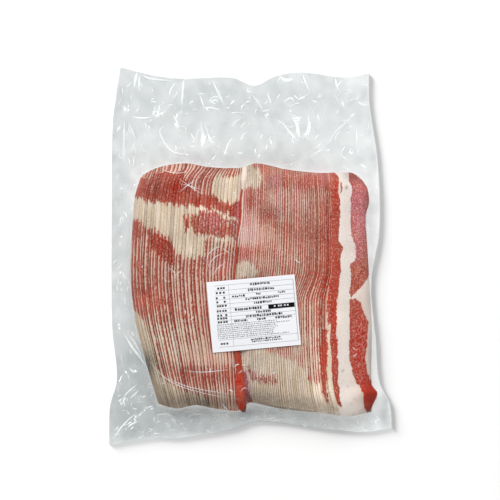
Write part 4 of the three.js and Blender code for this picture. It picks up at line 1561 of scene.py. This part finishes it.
def camera():
    """Straight over the pack, as far off as a long lens stands, so that it hardly foreshortens."""
    bpy.ops.object.camera_add()
    made = bpy.context.object
    x, y = to_mm(FRAME_PX / 2, FRAME_PX / 2)
    made.location = (x * MM, y * MM, CAMERA_HEIGHT)
    made.rotation_euler = (0, 0, 0)
    made.data.sensor_width = SENSOR
    made.data.lens = SENSOR * CAMERA_HEIGHT / (FRAME_PX * PIXEL * MM)
    made.data.clip_end = 30
    bpy.context.scene.camera = made


def softbox(name, location, size, power):
    """An area lamp of this width and height, turned to the pack."""
    bpy.ops.object.light_add(type="AREA", location=location)
    made = bpy.context.object
    made.name = name
    made.data.shape = "RECTANGLE"
    made.data.size, made.data.size_y = size
    made.data.energy = power
    aim = np.array(location)
    made.rotation_euler = (math.atan2(math.hypot(aim[0], aim[1]), aim[2]), 0, math.atan2(aim[0], -aim[1]))
    return made


def low_sun():
    """A broad even lamp far off to the left, low enough to throw the cut edges' shadows on the paper."""
    bpy.ops.object.light_add(type="SUN")
    made = bpy.context.object
    made.name = "wash"
    made.data.energy = WASH
    made.data.angle = WASH_WIDE
    made.rotation_euler = WASH_TURN
    return made


def sky():
    """A pale studio all round that is darker straight above, where the camera stands."""
    world = bpy.data.worlds.new("studio")
    world.use_nodes = True
    tree = world.node_tree
    background = tree.nodes["Background"]
    seen = node(tree, "TexCoord").outputs["Generated"]
    upwards = node(tree, "SeparateXYZ", seen).outputs["Z"]
    strength = node(tree, "MapRange", upwards, 0.80, 0.99, 0.55, 0.2)
    tree.links.new(strength.outputs[0], background.inputs["Strength"])
    background.inputs["Color"].default_value = linear("#f6f6f6")
    bpy.context.scene.world = world


def only(name, pieces):
    """A collection of these pieces alone, for a light that only some things meet."""
    group = bpy.data.collections.new(name)
    for piece in pieces:
        group.objects.link(piece)
    return group


def studio(packed, cut_edges):
    """White paper under a large softbox. A low lamp washes it from the left, past the bag's cut edges."""
    bpy.ops.mesh.primitive_plane_add(size=FLOOR_SIZE)
    floor = bpy.context.object
    floor.name = "floor"
    floor.data.materials.append(studio_paper())
    key = softbox("key", *KEY)
    key.visible_glossy = False
    key.light_linking.blocker_collection = only("key_blockers", packed)
    softbox("sparkle", *SPARKLE)
    softbox("sparkle_top", *SPARKLE_TOP)
    wash = low_sun()
    wash.light_linking.receiver_collection = only("washed", [floor])
    wash.light_linking.blocker_collection = only("wash_blockers", cut_edges)
    sky()
    bpy.context.scene.view_settings.view_transform = "Standard"


def main():
    camera()
    beef = raw_beef()
    clear = clear_ply("blown_polyethylene_film", 0.07)
    # Creases wear the same film, so milky white that it is a painted highlight.
    creased = clear_ply("polyethylene_film_painted_highlights", 0.9)
    meat = upright_rows() + [end_slices(), seam_slice()]
    bag = film()
    folds = creases()
    cut_edges = [cut_edge(*edge) for edge in CUT_EDGES]
    paper = label()
    marks = print_on_label()
    for piece in meat:
        wear(piece, beef, "vacuum_bag")
    wear(bag, clear, "vacuum_bag")
    for piece in [folds] + cut_edges:
        wear(piece, creased, "vacuum_bag")
    wear(paper, coated_paper(), "label")
    wear(marks, printing_ink(), "label")
    studio(meat + [paper], cut_edges)


main()
